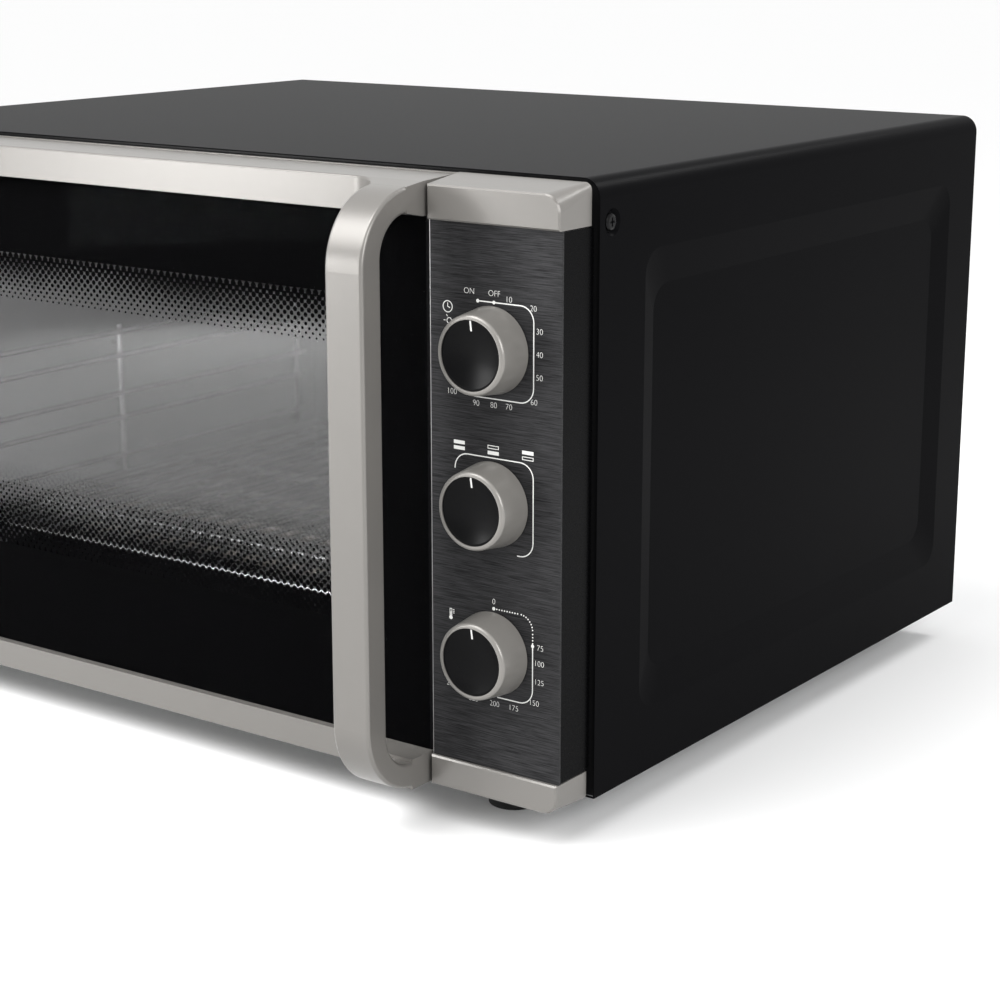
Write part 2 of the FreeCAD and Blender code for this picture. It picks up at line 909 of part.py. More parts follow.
def cavity_liner():
    """The enamelled cooking cavity, open to the front, with a flange behind the frame."""
    body = new_body("cavity_liner")
    sheet, corner = d.liner_sheet, d.cavity_corner
    mouth = rectangle(cavity_left, cavity_right, cavity_low, cavity_high, corner)
    reach = d.liner_flange
    flange = rectangle(
        cavity_left - reach, cavity_right + reach, cavity_low - reach, cavity_high + reach, corner
    )
    shell = rectangle(
        cavity_left - sheet, cavity_right + sheet, cavity_low - sheet, cavity_high + sheet,
        corner + sheet,
    )
    prism(body, "XZ", cavity_front, cavity_front + sheet, flange)
    prism(body, "XZ", cavity_front, cavity_back + sheet, shell)
    pocket(body, "XZ", cavity_front, cavity_back, mouth)
    runs = element_runs()
    tube = d.tube_radius + d.tube_fit
    holes = [circle(y, z, tube) for y in (runs[0], runs[-1]) for z in element_heights().values()]
    lamp = circle(front + d.lamp_set, high - d.lamp_drop, d.lamp_neck + d.tube_fit)
    probe = circle(front + d.probe_start, cavity_high - d.probe_drop, d.capillary + d.tube_fit)
    pocket(body, "YZ", cavity_right, cavity_right + sheet, lamp, probe, *holes)
    keep(body, "cavity_liner")


def insulation():
    """The glass-wool blanket over top, sides and back of the cavity."""
    body = new_body("insulation")
    gap = d.liner_sheet + d.seat_fit
    wool = d.blanket
    x0, x1, z1 = cavity_left - gap, cavity_right + gap, cavity_high + gap
    arch = [
        (x0 - wool, cavity_low),
        (x0, cavity_low),
        (x0, z1),
        (x1, z1),
        (x1, cavity_low),
        (x1 + wool, cavity_low),
        (x1 + wool, z1 + wool, wool),
        (x0 - wool, z1 + wool, wool),
    ]
    wall = cavity_back + gap
    prism(body, "XZ", front + d.blanket_start, wall, arch)
    end = [
        (x0 - wool, cavity_low),
        (x1 + wool, cavity_low),
        (x1 + wool, z1 + wool, wool),
        (x0 - wool, z1 + wool, wool),
    ]
    prism(body, "XZ", wall, wall + wool, end)
    runs = element_runs()
    clear = d.terminal_flange + d.seat_fit
    holes = [circle(y, z, clear) for y in (runs[0], runs[-1]) for z in element_heights().values()]
    lamp = circle(front + d.lamp_set, high - d.lamp_drop, d.holder_radius + d.seat_fit)
    pocket(body, "YZ", x1, x1 + wool, lamp, *holes)
    keep(body, "insulation")


def heat_partition():
    """The sheet between the hot cavity and the control compartment."""
    body = new_body("heat_partition")
    sheet = d.liner_sheet
    x0 = liner_right + d.partition_offset
    x1 = x0 + d.partition_flange
    web = [
        (x0, frame_back),
        (x1, frame_back),
        (x1, frame_back + sheet),
        (x0 + sheet, frame_back + sheet),
        (x0 + sheet, rear_inside - d.plate_sheet - sheet),
        (x1, rear_inside - d.plate_sheet - sheet),
        (x1, rear_inside - d.plate_sheet),
        (x0, rear_inside - d.plate_sheet),
    ]
    clear = d.dimple_depth + d.frame_sheet + d.seat_fit
    prism(body, "XY", plate_top + clear, inner_high - clear, web)
    probe = circle(front + d.probe_start, cavity_high - d.probe_drop, d.probe_radius)
    pocket(body, "YZ", x0, x0 + sheet, probe)
    keep(body, "heat_partition")


def cavity_seal():
    """The rubber seal round the cavity mouth: a base strip with a lip that meets the door."""
    body = new_body("cavity_seal")
    gap = d.seal_gap

    def frame_ring(inset):
        """A rounded rectangle at a distance outside the cavity mouth."""
        return rectangle(
            cavity_left - inset, cavity_right + inset, cavity_low - inset, cavity_high + inset,
            d.cavity_corner + inset,
        )

    base = frame_face - d.seal_base
    prism(body, "XZ", base, frame_face, frame_ring(gap + d.seal_width), frame_ring(gap))
    lip_in = gap + (d.seal_width - d.seal_lip) / 2
    tip = door_back + d.seat_fit
    prism(body, "XZ", tip, base, frame_ring(lip_in + d.seal_lip), frame_ring(lip_in))
    keep(body, "cavity_seal")


def control_housing():
    """The gloss black housing of the control panel, open to the rear."""
    body = new_body("control_housing")
    wall, lip = d.housing_wall, d.housing_lip
    outline = rectangle(panel_left, panel_right, panel_low, panel_high, d.housing_edge)
    prism(body, "XZ", housing_face, housing_back, outline)
    inset = rectangle(panel_left + lip, panel_right - lip, panel_low + lip, panel_high - lip)
    prism(body, "XZ", housing_back, frame_face, inset)
    room = wall + lip
    hollow = rectangle(panel_left + room, panel_right - room, panel_low + room, panel_high - room)
    floor = housing_face + wall
    pocket(body, "XZ", floor, frame_face, hollow)
    bosses = [circle(knob_x, z, d.boss_bore + d.boss_wall) for z in knob_heights.values()]
    posts = [circle(x, z, d.post_radius) for x, z in post_places()]
    prism(body, "XZ", floor, frame_face, *bosses, *posts)
    bores = [circle(knob_x, z, d.boss_bore) for z in knob_heights.values()]
    pocket(body, "XZ", housing_face, frame_face, *bores)
    pilots = [circle(x, z, d.pilot_radius) for x, z in post_places()]
    pocket(body, "XZ", floor, frame_face, *pilots)
    keep(body, "control_housing")


def post_places():
    """Middles of the screw posts in the corners of the control housing."""
    inset = d.post_inset
    return [
        (x, z)
        for x in (panel_left + inset, panel_right - inset)
        for z in (panel_low + inset, panel_high - inset)
    ]


def control_plate():
    """The brushed plate on the front of the housing, with a hole for each shaft."""
    body = new_body("control_plate")
    outline = rectangle(panel_left, panel_right, panel_low, panel_high)
    holes = [circle(knob_x, z, d.shaft_hole) for z in knob_heights.values()]
    prism(body, "XZ", plate_face, housing_face, outline, *holes)
    keep(body, "control_plate")


def cap_outline(low_side, high_side, upward, inset, corner):
    """Outline of an end cap seen from the front, with its outer right corner rounded."""
    x0, x1 = panel_left + inset, panel_right - inset
    lower, upper = (x1, low_side), (x1, high_side)
    if upward:
        upper = (x1, high_side, corner)
    else:
        lower = (x1, low_side, corner)
    return [(x0, low_side), lower, upper, (x0, high_side)]


def panel_cap(name, low_side, high_side, upward):
    """A silver end cap of the control panel, hollow from the rear, one corner rounded."""
    body = new_body(name)
    face = front - d.cap_front
    wall, edge, corner = d.cap_wall, d.cap_edge, d.cap_front_corner
    top = high - d.cap_crease if upward else high_side
    face_outline = cap_outline(low_side + edge, top - edge, upward, edge, corner - edge)
    crease_outline = cap_outline(low_side, top, upward, 0, corner)
    rear_outline = cap_outline(low_side, high_side, upward, 0, d.cap_rear_corner)
    loft(body, "Additive", "XZ", face, face_outline, face + edge, crease_outline)
    loft(body, "Additive", "XZ", face + edge, crease_outline, housing_back, rear_outline)
    hollow = cap_outline(low_side + wall, top - wall, upward, wall, corner - wall)
    pocket(body, "XZ", face + wall, housing_back, hollow)
    return body


def panel_cap_top():
    """The upper cap, with the thin strip that runs on over the door."""
    high_side = high - d.cap_rear_drop
    body = panel_cap("panel_cap_top", panel_high, high_side, True)
    strip_face = front - d.strip_front
    strip_back = strip_face + d.strip_thick
    strip_top = high - d.strip_drop
    strip_low = strip_top - d.strip_height
    section = [
        (strip_face, strip_low),
        (frame_face, strip_low),
        (frame_face, strip_low + d.strip_foot),
        (strip_back, strip_low + d.strip_foot),
        (strip_back, strip_top),
        (strip_face, strip_top),
    ]
    prism(body, "YZ", door_left, panel_left + d.cap_wall, section)
    keep(body, "panel_cap_top")


def panel_cap_bottom():
    """The lower cap, flat on top where it meets the plate."""
    body = panel_cap("panel_cap_bottom", low - d.cap_drop, panel_low, False)
    keep(body, "panel_cap_bottom")


def rail_plan():
    """Plan outline of a door rail, with the flare that grows into the handle's seat."""
    lead = handle_left - d.flare_lead
    return [
        (door_left, rail_face),
        (lead, rail_face, d.flare_radius),
        (handle_left, handle_seam),
        (door_right, handle_seam),
        (door_right, door_back),
        (door_left, door_back, d.door_corner),
    ]


def rail_screw_height(upward):
    """Height of the handle screw in the upper or lower rail."""
    if upward:
        return high - d.boss_high - d.boss_thick / 2
    return low + d.boss_low + d.boss_thick / 2


def door_rail_top():
    """The upper rail: sloped top, hollow for the door pan, flared seat for the strap."""
    body = new_body("door_rail_top")
    top = high - d.rail_rear_drop
    crease = high - d.rail_crease
    seam_top = high - d.boss_high
    over = d.rail_wall
    block = prism(body, "XY", upper_rail_low, top, rail_plan())
    slope = [
        (door_back + over, top),
        (rail_face, crease),
        (handle_seam - over, seam_top - over * d.handle_slope),
        (handle_seam - over, top + over),
        (door_back + over, top + over),
    ]
    block = pocket(body, "YZ", door_left - over, door_right + over, slope)
    under = [
        (rail_face, upper_rail_low - over),
        (rail_face, upper_rail_low),
        (handle_seam, seam_top - d.boss_thick),
        (handle_seam - over, seam_top - d.boss_thick),
        (handle_seam - over, upper_rail_low - over),
    ]
    block = pocket(body, "YZ", handle_left - d.flare_run, door_right + over, under)
    block = soften(body, block, d.rail_edge, lambda edge: on_front_crease(edge, crease, seam_top))
    hollow = [
        (rail_back, upper_rail_low + over),
        (glass_back, upper_rail_low + over),
        (glass_back, upper_rail_low - over),
        (door_back + over, upper_rail_low - over),
        (door_back + over, crease - over),
        (rail_back, crease - over),
    ]
    rail_hollow(body, hollow)
    rail_screw_hole(body, rail_screw_height(True))
    keep(body, "door_rail_top")


def on_front_crease(edge, crease, seam_top):
    """Whether an edge is the top front edge of the rail or of its flare."""
    forward = edge.YMax < number(rail_face) + 1e-3 and edge.YMin > number(handle_seam) + 1e-3
    face = near(edge.YMax, rail_face) and near(edge.YMin, rail_face)
    raised = edge.ZMin > number(seam_top) - 1e-3 and edge.ZMax < number(crease) + 1e-3
    return raised and (face or forward)


def rail_hollow(body, section):
    """Hollow a rail for the pan, between its end walls, with a lip behind the glass."""
    pocket(body, "YZ", door_left + d.pan_wall, door_right - d.pan_wall, section)


def rail_screw_hole(body, height):
    """Drill a rail's seat for the handle screw."""
    hole = circle(handle_middle, height, d.screw_shank + d.sheet_fit)
    pocket(body, "XZ", handle_seam, rail_back, hole)


def door_rail_bottom():
    """The lower rail, with a bright flat ledge that widens towards the strap."""
    body = new_body("door_rail_bottom")
    block = prism(body, "XY", door_low, lower_rail_high, rail_plan())
    block = soften(body, block, d.rail_edge, on_low_edge)
    over = d.rail_wall
    hollow = [
        (rail_back, door_low + over),
        (door_back + over, door_low + over),
        (door_back + over, lower_rail_high + over),
        (glass_back, lower_rail_high + over),
        (glass_back, lower_rail_high - over),
        (rail_back, lower_rail_high - over),
    ]
    rail_hollow(body, hollow)
    rail_screw_hole(body, rail_screw_height(False))
    keep(body, "door_rail_bottom")


def on_low_edge(edge):
    """Whether an edge is the bottom front edge of the lower rail or of its flare."""
    level = near(edge.ZMax, door_low) and near(edge.ZMin, door_low)
    forward = edge.YMax < number(rail_face) + 1e-3 and edge.YMin > number(handle_seam) + 1e-3
    face = near(edge.YMax, rail_face) and near(edge.YMin, rail_face)
    return level and (face or forward)


def handle_strap():
    """The handle: a flat strap that bends back into both rails, its long edges softened."""
    body = new_body("handle_strap")
    slope = d.handle_slope
    run = d.handle_reach - d.handle_seam
    seam_top, seam_low = high - d.boss_high, low + d.boss_low
    inner_run = run - d.handle_thick
    inner_face = handle_face + d.handle_thick
    inner_top, inner_low = seam_top - d.boss_thick, seam_low + d.boss_thick
    outline = [
        (handle_seam, seam_top),
        (handle_face, seam_top - run * slope, d.handle_outer),
        (handle_face, seam_low + run * slope, d.handle_outer),
        (handle_seam, seam_low),
        (handle_seam, inner_low),
        (inner_face, inner_low + inner_run * slope, d.handle_inner),
        (inner_face, inner_top - inner_run * slope, d.handle_inner),
        (handle_seam, inner_top),
    ]
    strap = prism(body, "YZ", handle_left, door_right, outline)
    soften(body, strap, d.handle_edge, on_strap_side)
    holes = [circle(handle_middle, rail_screw_height(side), d.screw_shank) for side in (True, False)]
    pocket(body, "XZ", handle_seam - d.screw_length, handle_seam, *holes)
    keep(body, "handle_strap")


def on_strap_side(edge):
    """Whether an edge runs along the strap on its left or right side."""
    side = near(edge.XMin, handle_left) and near(edge.XMax, handle_left)
    other = near(edge.XMin, door_right) and near(edge.XMax, door_right)
    seam = near(edge.YMin, handle_seam) and near(edge.YMax, handle_seam)
    return (side or other) and not seam


def handle_screws():
    """Two screws from inside the rails into the strap."""
    reach = d.handle_seam - d.rail_front + d.rail_wall + d.screw_length - d.screw_head_height
    places = [rail_screw_height(side) for side in (True, False)]
    group("handle_screws", [screw("Y", rail_back, 1, handle_middle, z, reach) for z in places])


def door_frame():
    """The door pan behind the glass, open to the front, notched for the hinge arms."""
    body = new_body("door_frame")
    fit = d.sheet_fit
    wall = d.pan_wall
    end = wall + fit
    z0, z1 = door_low + d.rail_wall + fit, high - d.rail_crease - d.rail_wall - fit
    middle = [
        (door_left, glass_back),
        (door_right, glass_back),
        (door_right, door_back),
        (door_left, door_back, d.door_corner),
    ]
    prism(body, "XY", lower_rail_high + fit, upper_rail_low - fit, middle)
    whole = [
        (door_left + end, glass_back),
        (door_right - end, glass_back),
        (door_right - end, door_back),
        (door_left + end, door_back, d.door_corner),
    ]
    prism(body, "XY", z0, z1, whole)
    deep = end + wall
    hollow = [
        (door_left + deep, glass_back),
        (door_right - deep, glass_back),
        (door_right - deep, door_back - wall),
        (door_left + deep, door_back - wall, d.door_corner - wall),
    ]
    pocket(body, "XY", z0 + wall, z1 - wall, hollow)
    opening = rectangle(*window(), d.window_corner)
    pocket(body, "XZ", door_back - wall, door_back, opening)
    add_hinge_seats(body)
    keep(body, "door_frame")


def window():
    """Left, right, low and high sides of the window in the pan's rear wall."""
    return (
        door_left + d.window_left,
        door_right - d.window_right,
        low + d.window_low,
        high - d.window_high,
    )


def add_hinge_seats(body):
    """Give the pan a bored block for each hinge bush and a slot for each hinge arm."""
    seat = arm_slot_half() + d.bush_length
    block = [
        (door_left, front - d.arm_slot_front),
        (door_left + d.arm_slot_right, front - d.arm_slot_front),
        (door_left + d.arm_slot_right, door_back),
        (door_left, door_back, d.door_corner),
    ]
    prism(body, "XY", lower_arm, lower_arm + seat, block)
    prism(body, "XY", upper_arm - seat, upper_arm, block)
    slot = rectangle(
        door_left - d.arm_slot_right, door_left + d.arm_slot_right,
        front - d.arm_slot_front, door_back + d.arm_slot_right,
    )
    for height in (lower_arm, upper_arm):
        pocket(body, "XY", height - arm_slot_half(), height + arm_slot_half(), slot)
    bore = circle(hinge_x, hinge_y, d.pin_radius + d.shaft_fit + d.bush_wall + d.press_fit)
    pocket(body, "XY", lower_arm, lower_arm + seat, bore)
    pocket(body, "XY", upper_arm - seat, upper_arm, bore)


def arm_slot_half():
    """Half the height of the slot round a hinge arm."""
    return d.arm_thick / 2 + d.arm_clearance


def hinge_bushes():
    """Two sleeves in the door that turn on the hinge pins."""
    start = arm_slot_half()
    radius = d.pin_radius + d.shaft_fit
    spans = [
        (lower_arm + start, lower_arm + start + d.bush_length),
        (upper_arm - start - d.bush_length, upper_arm - start),
    ]
    sleeves = []
    for z0, z1 in spans:
        sleeve = rod("Z", z0, z1, hinge_x, hinge_y, radius + d.bush_wall)
        sleeves.append(cut(sleeve, rod("Z", z0, z1, hinge_x, hinge_y, radius)))
    group("hinge_bushes", sleeves)


def hinge_bracket(name, height):
    """A bracket on the frame whose round-ended arm carries a hinge pin."""
    body = new_body(name)
    half = d.arm_thick / 2
    x0, x1 = hinge_x - d.arm_radius, hinge_x + d.arm_radius
    face = frame_face - d.bracket_thick
    base = rectangle(
        x0, x0 + d.bracket_width, height - d.bracket_height / 2, height + d.bracket_height / 2
    )
    prism(body, "XZ", face, frame_face, base)
    arm = rectangle(x0, x1, hinge_y, frame_face)
    prism(body, "XY", height - half, height + half, arm)
    prism(body, "XY", height - half, height + half, circle(hinge_x, hinge_y, d.arm_radius))
    hole = circle(hinge_x, hinge_y, d.pin_radius + d.press_fit)
    pocket(body, "XY", height - half, height + half, hole)
    keep(body, name)


def hinge_pins():
    """The two pins, held in the arms and reaching into the door's bushes."""
    half = d.arm_thick / 2
    lower = rod("Z", lower_arm - half, lower_arm - half + d.pin_length, hinge_x, hinge_y, d.pin_radius)
    start = upper_arm + half - d.pin_length
    upper = rod("Z", start, upper_arm + half, hinge_x, hinge_y, d.pin_radius)
    group("hinge_pins", [lower, upper])


def door_glass():
    """The outer glass between the two rails."""
    fit = d.seat_fit
    x0, x1 = door_left, door_right
    glass = box(x0, x1, glass_face, glass_back, lower_rail_high + fit, upper_rail_low - fit)
    keep(glass, "door_glass")


def inner_glass():
    """The inner pane, laid against the pan's rear wall round the window."""
    x0, x1, z0, z1 = window()
    lap = d.pane_lap
    face = door_back - d.pan_wall
    pane = box(x0 - lap, x1 + lap, face - d.pane_thick, face, z0 - lap, z1 + lap)
    keep(pane, "inner_glass")


def glass_retainers():
    """Two bent strips that clip the inner pane to the pan."""
    x0, x1, z0, z1 = window()
    lap, sheet = d.pane_lap, d.retainer_sheet
    wall = door_back - d.pan_wall
    strips = []
    for edge, sign in ((z1 + lap, 1), (z0 - lap, -1)):
        near_side = edge + d.seat_fit * sign
        far_side = near_side + d.retainer_width * sign
        over = edge - d.retainer_lap * sign
        riser = near_side + sheet * sign
        strips.append(fuse(
            strip_block(x0, x1, wall - sheet, wall, near_side, far_side, sign),
            strip_block(x0, x1, wall - d.pane_thick - sheet, wall, near_side, riser, sign),
            strip_block(
                x0, x1, wall - d.pane_thick - sheet, wall - d.pane_thick, over, riser, sign
            ),
        ))
    group("glass_retainers", strips)


def strip_block(x0, x1, y0, y1, z0, z1, sign):
    """A block whose height is given from the pane outwards, up or down."""
    if sign > 0:
        return box(x0, x1, y0, y1, z0, z1)
    return box(x0, x1, y0, y1, z1, z0)


def catch():
    """The magnet on the frame and its strike plate on the door."""
    x0 = cavity_right + d.catch_offset
    x1 = x0 + d.catch_width
    z0 = (low + high - d.catch_height) / 2
    z1 = z0 + d.catch_height
    strike_face = door_back + d.strike_thick
    magnet = box(x0, x1, strike_face + d.seat_fit, frame_face, z0, z1)
    keep(magnet, "magnet_catch")
    keep(box(x0, x1, door_back, strike_face, z0, z1), "catch_strike")


def knob_levels():
    """How far the disc's seat and the underside of the web stand above the plate."""
    seat = d.knob_height - d.disc_sink - d.disc_thick
    return seat, seat - d.knob_web


def knob_shell(name, height):
    """The tapered silver shell of a knob, with a hub that is flat on one side."""
    body = new_body(name)
    h, wall = d.knob_height, d.knob_wall
    seat, under = knob_levels()
    reach = d.shaft_radius + d.shaft_fit
    hub = [
        (d.hub_radius, -under),
        (d.hub_radius, -d.hub_start),
        (reach, -d.hub_start),
        (reach, -under),
    ]
    shell = [
        (0, -under),
        (d.knob_rim - wall, -under),
        (d.knob_base - wall, -d.knob_gap),
        (d.knob_base, -d.knob_gap),
        (d.knob_rim, -h, d.knob_rim_round),
        (d.disc_radius, -h),
        (d.disc_radius, -seat),
        (0, -seat),
    ]
    turn(body, "XY", shell)
    turn(body, "XY", hub)
    flat = reach - d.shaft_flat
    flat_fill = [(-reach, flat), (reach, flat), (reach, reach), (-reach, reach)]
    prism(body, "XZ", -under, -d.hub_start, flat_fill)
    move(body, knob_x, plate_face, height)
    keep(body, name)


def knob_disc(name, height):
    """The black disc let into a knob's face, dished inside a narrow flat rim."""
    seat = knob_levels()[0]
    face = plate_face - d.knob_height + d.disc_sink
    disc = rod("Y", face, plate_face - seat, knob_x, height, d.disc_radius - d.disc_fit)
    dish = d.disc_radius - d.dish_rim
    radius = (dish * dish + d.dish_depth * d.dish_depth) / (d.dish_depth * 2)
    ball = doc.addObject("Part::Sphere", "ball")
    bind(ball, "Radius", radius)
    move(ball, knob_x, face - radius + d.dish_depth, height)
    keep(cut(disc, ball), name)


def knob_shaft(name, height):
    """The shaft of a knob, flat on one side where the hub holds it."""
    under = knob_levels()[1]
    shaft = rod("Y", plate_face - under, front + d.shaft_inside, knob_x, height, d.shaft_radius)
    flat_z = height + d.shaft_radius - d.shaft_flat
    side = d.shaft_radius * 2
    level = box(knob_x - side, knob_x + side, plate_face - under - side, plate_face - d.hub_start,
                flat_z, flat_z + side)
    keep(cut(shaft, level), name)


def unit_bush(body, height):
    """Add the mounting plate and bored bush that every control unit has."""
    half = d.unit_half
    plate = rectangle(knob_x - half, knob_x + half, height - half, height + half, d.post_radius)
    prism(body, "XZ", frame_back, frame_back + d.unit_plate, plate)
    prism(body, "XZ", front - d.bush_front, frame_back, circle(knob_x, height, d.bush_radius))
    bore = circle(knob_x, height, d.shaft_radius + d.shaft_fit)
    pocket(body, "XZ", front - d.bush_front, front + d.shaft_inside + d.seat_fit, bore)


def unit_tabs(body, height, start, count):
    """Add a row of flat terminal tabs on the back of a unit."""
    x0 = knob_x - d.tab_pitch * (count - 1) / 2 - d.tab_thick / 2
    tab = rectangle(x0, x0 + d.tab_thick, height - d.tab_width / 2, height + d.tab_width / 2)
    first = prism(body, "XZ", start, start + d.tab_length, tab)
    repeat(body, first, "X", d.tab_pitch * (count - 1), count)


def timer_unit():
    """The clockwork timer: a round case on its plate."""
    body = new_body("timer_unit")
    height = knob_heights["timer"]
    start = frame_back + d.unit_plate
    prism(body, "XZ", start, start + d.timer_depth, circle(knob_x, height, d.timer_radius))
    unit_bush(body, height)
    unit_tabs(body, height, start + d.timer_depth, 2)
    keep(body, "timer_unit")


def mode_switch():
    """The rotary switch that picks the heating elements."""
    body = new_body("mode_switch")
    height = knob_heights["mode"]
    start = frame_back + d.unit_plate
    half = d.switch_half
    case = rectangle(knob_x - half, knob_x + half, height - half, height + half, d.post_radius)
    prism(body, "XZ", start, start + d.switch_depth, case)
    unit_bush(body, height)
    unit_tabs(body, height, start + d.switch_depth, 3)
    keep(body, "mode_switch")


def thermostat_unit():
    """The thermostat, fed by the capillary of its probe."""
    body = new_body("thermostat_unit")
    height = knob_heights["thermostat"]
    start = frame_back + d.unit_plate
    half = d.thermostat_half
    case = rectangle(knob_x - half, knob_x + half, height - half, height + half, d.post_radius)
    prism(body, "XZ", start, start + d.thermostat_depth, case)
    unit_bush(body, height)
    unit_tabs(body, height, start + d.thermostat_depth, 2)
    keep(body, "thermostat_unit")


def thermostat_probe():
    """The probe in the cavity, with the capillary that runs down to the thermostat."""
    y = front + d.probe_start
    z = cavity_high - d.probe_drop
    x = cavity_right - d.probe_inset
    drop = knob_x - d.unit_half - d.capillary_inset
    end = knob_heights["thermostat"]
    path = [
        (x, z),
        (drop, z, d.capillary_bend),
        (drop, end, d.capillary_bend),
        (knob_x - d.thermostat_half, end),
    ]
    wires = bent_wire("XZ", y, path, d.capillary)
    wires.append(rod("Y", y - d.probe_radius, y + d.probe_length, x, z, d.probe_radius))
    for part in (1, 3):
        middle = y + d.probe_length * part / 4
        wires.append(rod("X", x, cavity_right, middle, z, d.capillary))
    keep(fuse(*wires), "thermostat_probe")


def heating_element(name, height):
    """A steel tube in four runs, both ends through the right wall."""
    runs = element_runs()
    turn_radius = d.tube_bend
    x0 = cavity_left + d.run_left_inset
    x1 = cavity_right - d.run_right_inset
    end = liner_right + d.terminal_length
    path = [
        (end, runs[0]),
        (x0, runs[0], turn_radius),
        (x0, runs[1], turn_radius),
        (x1, runs[1], turn_radius),
        (x1, runs[2], turn_radius),
        (x0, runs[2], turn_radius),
        (x0, runs[-1], turn_radius),
        (end, runs[-1]),
    ]
    keep(fuse(*bent_wire("XY", height, path, d.tube_radius)), name)


def element_terminals():
    """Four ceramic collars where the elements pass the right wall."""
    collars = []
    for height in element_heights().values():
        for y in (element_runs()[0], element_runs()[-1]):
            flange_end = liner_right + d.terminal_flange_thick
            flange = rod("X", liner_right, flange_end, y, height, d.terminal_flange)
            sleeve_end = liner_right + d.terminal_length - d.terminal_flange_thick
            sleeve = rod("X", liner_right, sleeve_end, y, height, d.terminal_radius)
            bore = rod("X", liner_right, sleeve_end, y, height, d.tube_radius + d.shaft_fit)
            collars.append(cut(fuse(flange, sleeve), bore))
    group("element_terminals", collars)


def rack_guide(name, wall, sign):
    """A wire ladder on one side wall, with three pairs of rails for the rack."""
    post_x = wall + d.guide_post_inset * sign
    rail_x = wall + d.guide_rail_inset * sign
    ends = [cavity_front + d.guide_start, cavity_back - d.guide_end_inset]
    posts = [ends[0], cavity_front + d.guide_middle, ends[1]]
    first = cavity_low + d.guide_first
    count = int(number(d.guide_levels))
    levels = [first + d.guide_pitch * i + d.guide_pair * j for i in range(count) for j in (0, 1)]
    overhang = d.guide_post_radius * 2
    low_end, high_end = first - overhang, levels[-1] + overhang
    wires = [rod("Z", low_end, high_end, post_x, y, d.guide_post_radius) for y in posts]
    for z in levels:
        wires.append(rod("Y", ends[0] - overhang, ends[1] + overhang, rail_x, z,
                         d.guide_rail_radius))
    x0, x1 = (wall, post_x) if sign > 0 else (post_x, wall)
    for y in posts:
        for z in (levels[0] + d.guide_pair / 2, levels[-1] - d.guide_pair / 2):
            wires.append(rod("X", x0, x1, y, z, d.guide_peg_radius))
    keep(fuse(*wires), name)


def rack_height():
    """Height of the rack's frame, which lies on the lowest rails of the guides."""
    reach = d.rack_frame + d.guide_rail_radius + d.shaft_fit
    aside = d.rack_side_inset - d.guide_rail_inset
    return cavity_low + d.guide_first + root(reach * reach - aside * aside)


def wire_rack():
    """The chromed rack: a round-cornered frame, cross wires and long wires welded on top."""
    z = rack_height()
    x0, x1 = cavity_left + d.rack_side_inset, cavity_right - d.rack_side_inset
    y0, y1 = cavity_front + d.rack_start, cavity_back - d.rack_end_inset
    corners = [(x, y, d.rack_corner) for x, y in ((x0, y0), (x1, y0), (x1, y1), (x0, y1))]
    wires = [fuse(*bent_wire("XY", z, corners, d.rack_frame, True), refine=False)]
    for i in range(2):
        y = cavity_front + d.rack_cross_first + d.rack_cross_pitch * i
        wires.append(rod("X", x0, x1, y, z, d.rack_wire))
    pitch = (x1 - x0) / (d.rack_wires + 1)
    top = z + d.rack_wire * 2 - d.rack_weld
    over = d.rack_overrun
    for i in range(int(number(d.rack_wires))):
        wires.append(rod("Y", y0 - over, y1 + over, x0 + pitch * (i + 1), top, d.rack_wire))
    keep(fuse(*wires, refine=False), "wire_rack")


def drip_tray():
    """The enamelled tray on the cavity floor."""
    body = new_body("drip_tray")
    inset, sheet, rim = d.tray_inset, d.tray_sheet, d.tray_rim
    x0, x1 = cavity_left + inset, cavity_right - inset
    y0, y1 = cavity_front + inset, cavity_back - inset
    z0, z1 = cavity_low, cavity_low + d.tray_height
    corner = d.tray_corner
    pan = rectangle(x0 + rim, x1 - rim, y0 + rim, y1 - rim, corner)
    prism(body, "XY", z0, z1, pan)
    prism(body, "XY", z1 - sheet, z1, rectangle(x0, x1, y0, y1, corner))
    deep = rim + sheet
    hollow = rectangle(x0 + deep, x1 - deep, y0 + deep, y1 - deep, corner - sheet)
    pocket(body, "XY", z0 + sheet, z1, hollow)
    keep(body, "drip_tray")


def lamp():
    """The lamp holder behind the right wall, its bulb and its domed glass in the cavity."""
    y, z = front + d.lamp_set, high - d.lamp_drop
    wall, depth = d.holder_wall, d.holder_depth
    end = liner_right + depth
    holder = cut(
        rod("X", liner_right, end, y, z, d.holder_radius),
        rod("X", liner_right, end - wall, y, z, d.holder_radius - wall),
    )
    keep(holder, "lamp_holder")
    inside = cavity_right - d.lamp_depth
    neck = d.lamp_neck
    dome = fuse(
        rod("X", cavity_right - d.lamp_wall, cavity_right, y, z, d.lamp_radius),
        rod("X", inside, liner_right + depth / 2, y, z, neck),
    )
    bore = rod("X", inside + d.lamp_wall, liner_right + depth / 2, y, z, neck - d.lamp_wall)
    keep(cut(dome, bore), "lamp_glass")
    seat = end - wall
    tip = seat - d.bulb_length
    capsule = rod("X", tip + d.bulb_radius, seat - d.bulb_base, y, z, d.bulb_radius)
    ball = doc.addObject("Part::Sphere", "ball")
    bind(ball, "Radius", d.bulb_radius)
    move(ball, tip + d.bulb_radius, y, z)
    base = rod("X", seat - d.bulb_base, seat, y, z, d.bulb_base)
    keep(fuse(ball, capsule, base), "lamp_bulb")


def foot_places():
    """Plan positions of the four feet."""
    x = right - d.foot_inset
    y0, y1 = front + d.foot_set, back - d.foot_back
    return {
        "foot_front_left": (-x, y0),
        "foot_front_right": (x, y0),
        "foot_rear_left": (-x, y1),
        "foot_rear_right": (x, y1),
    }


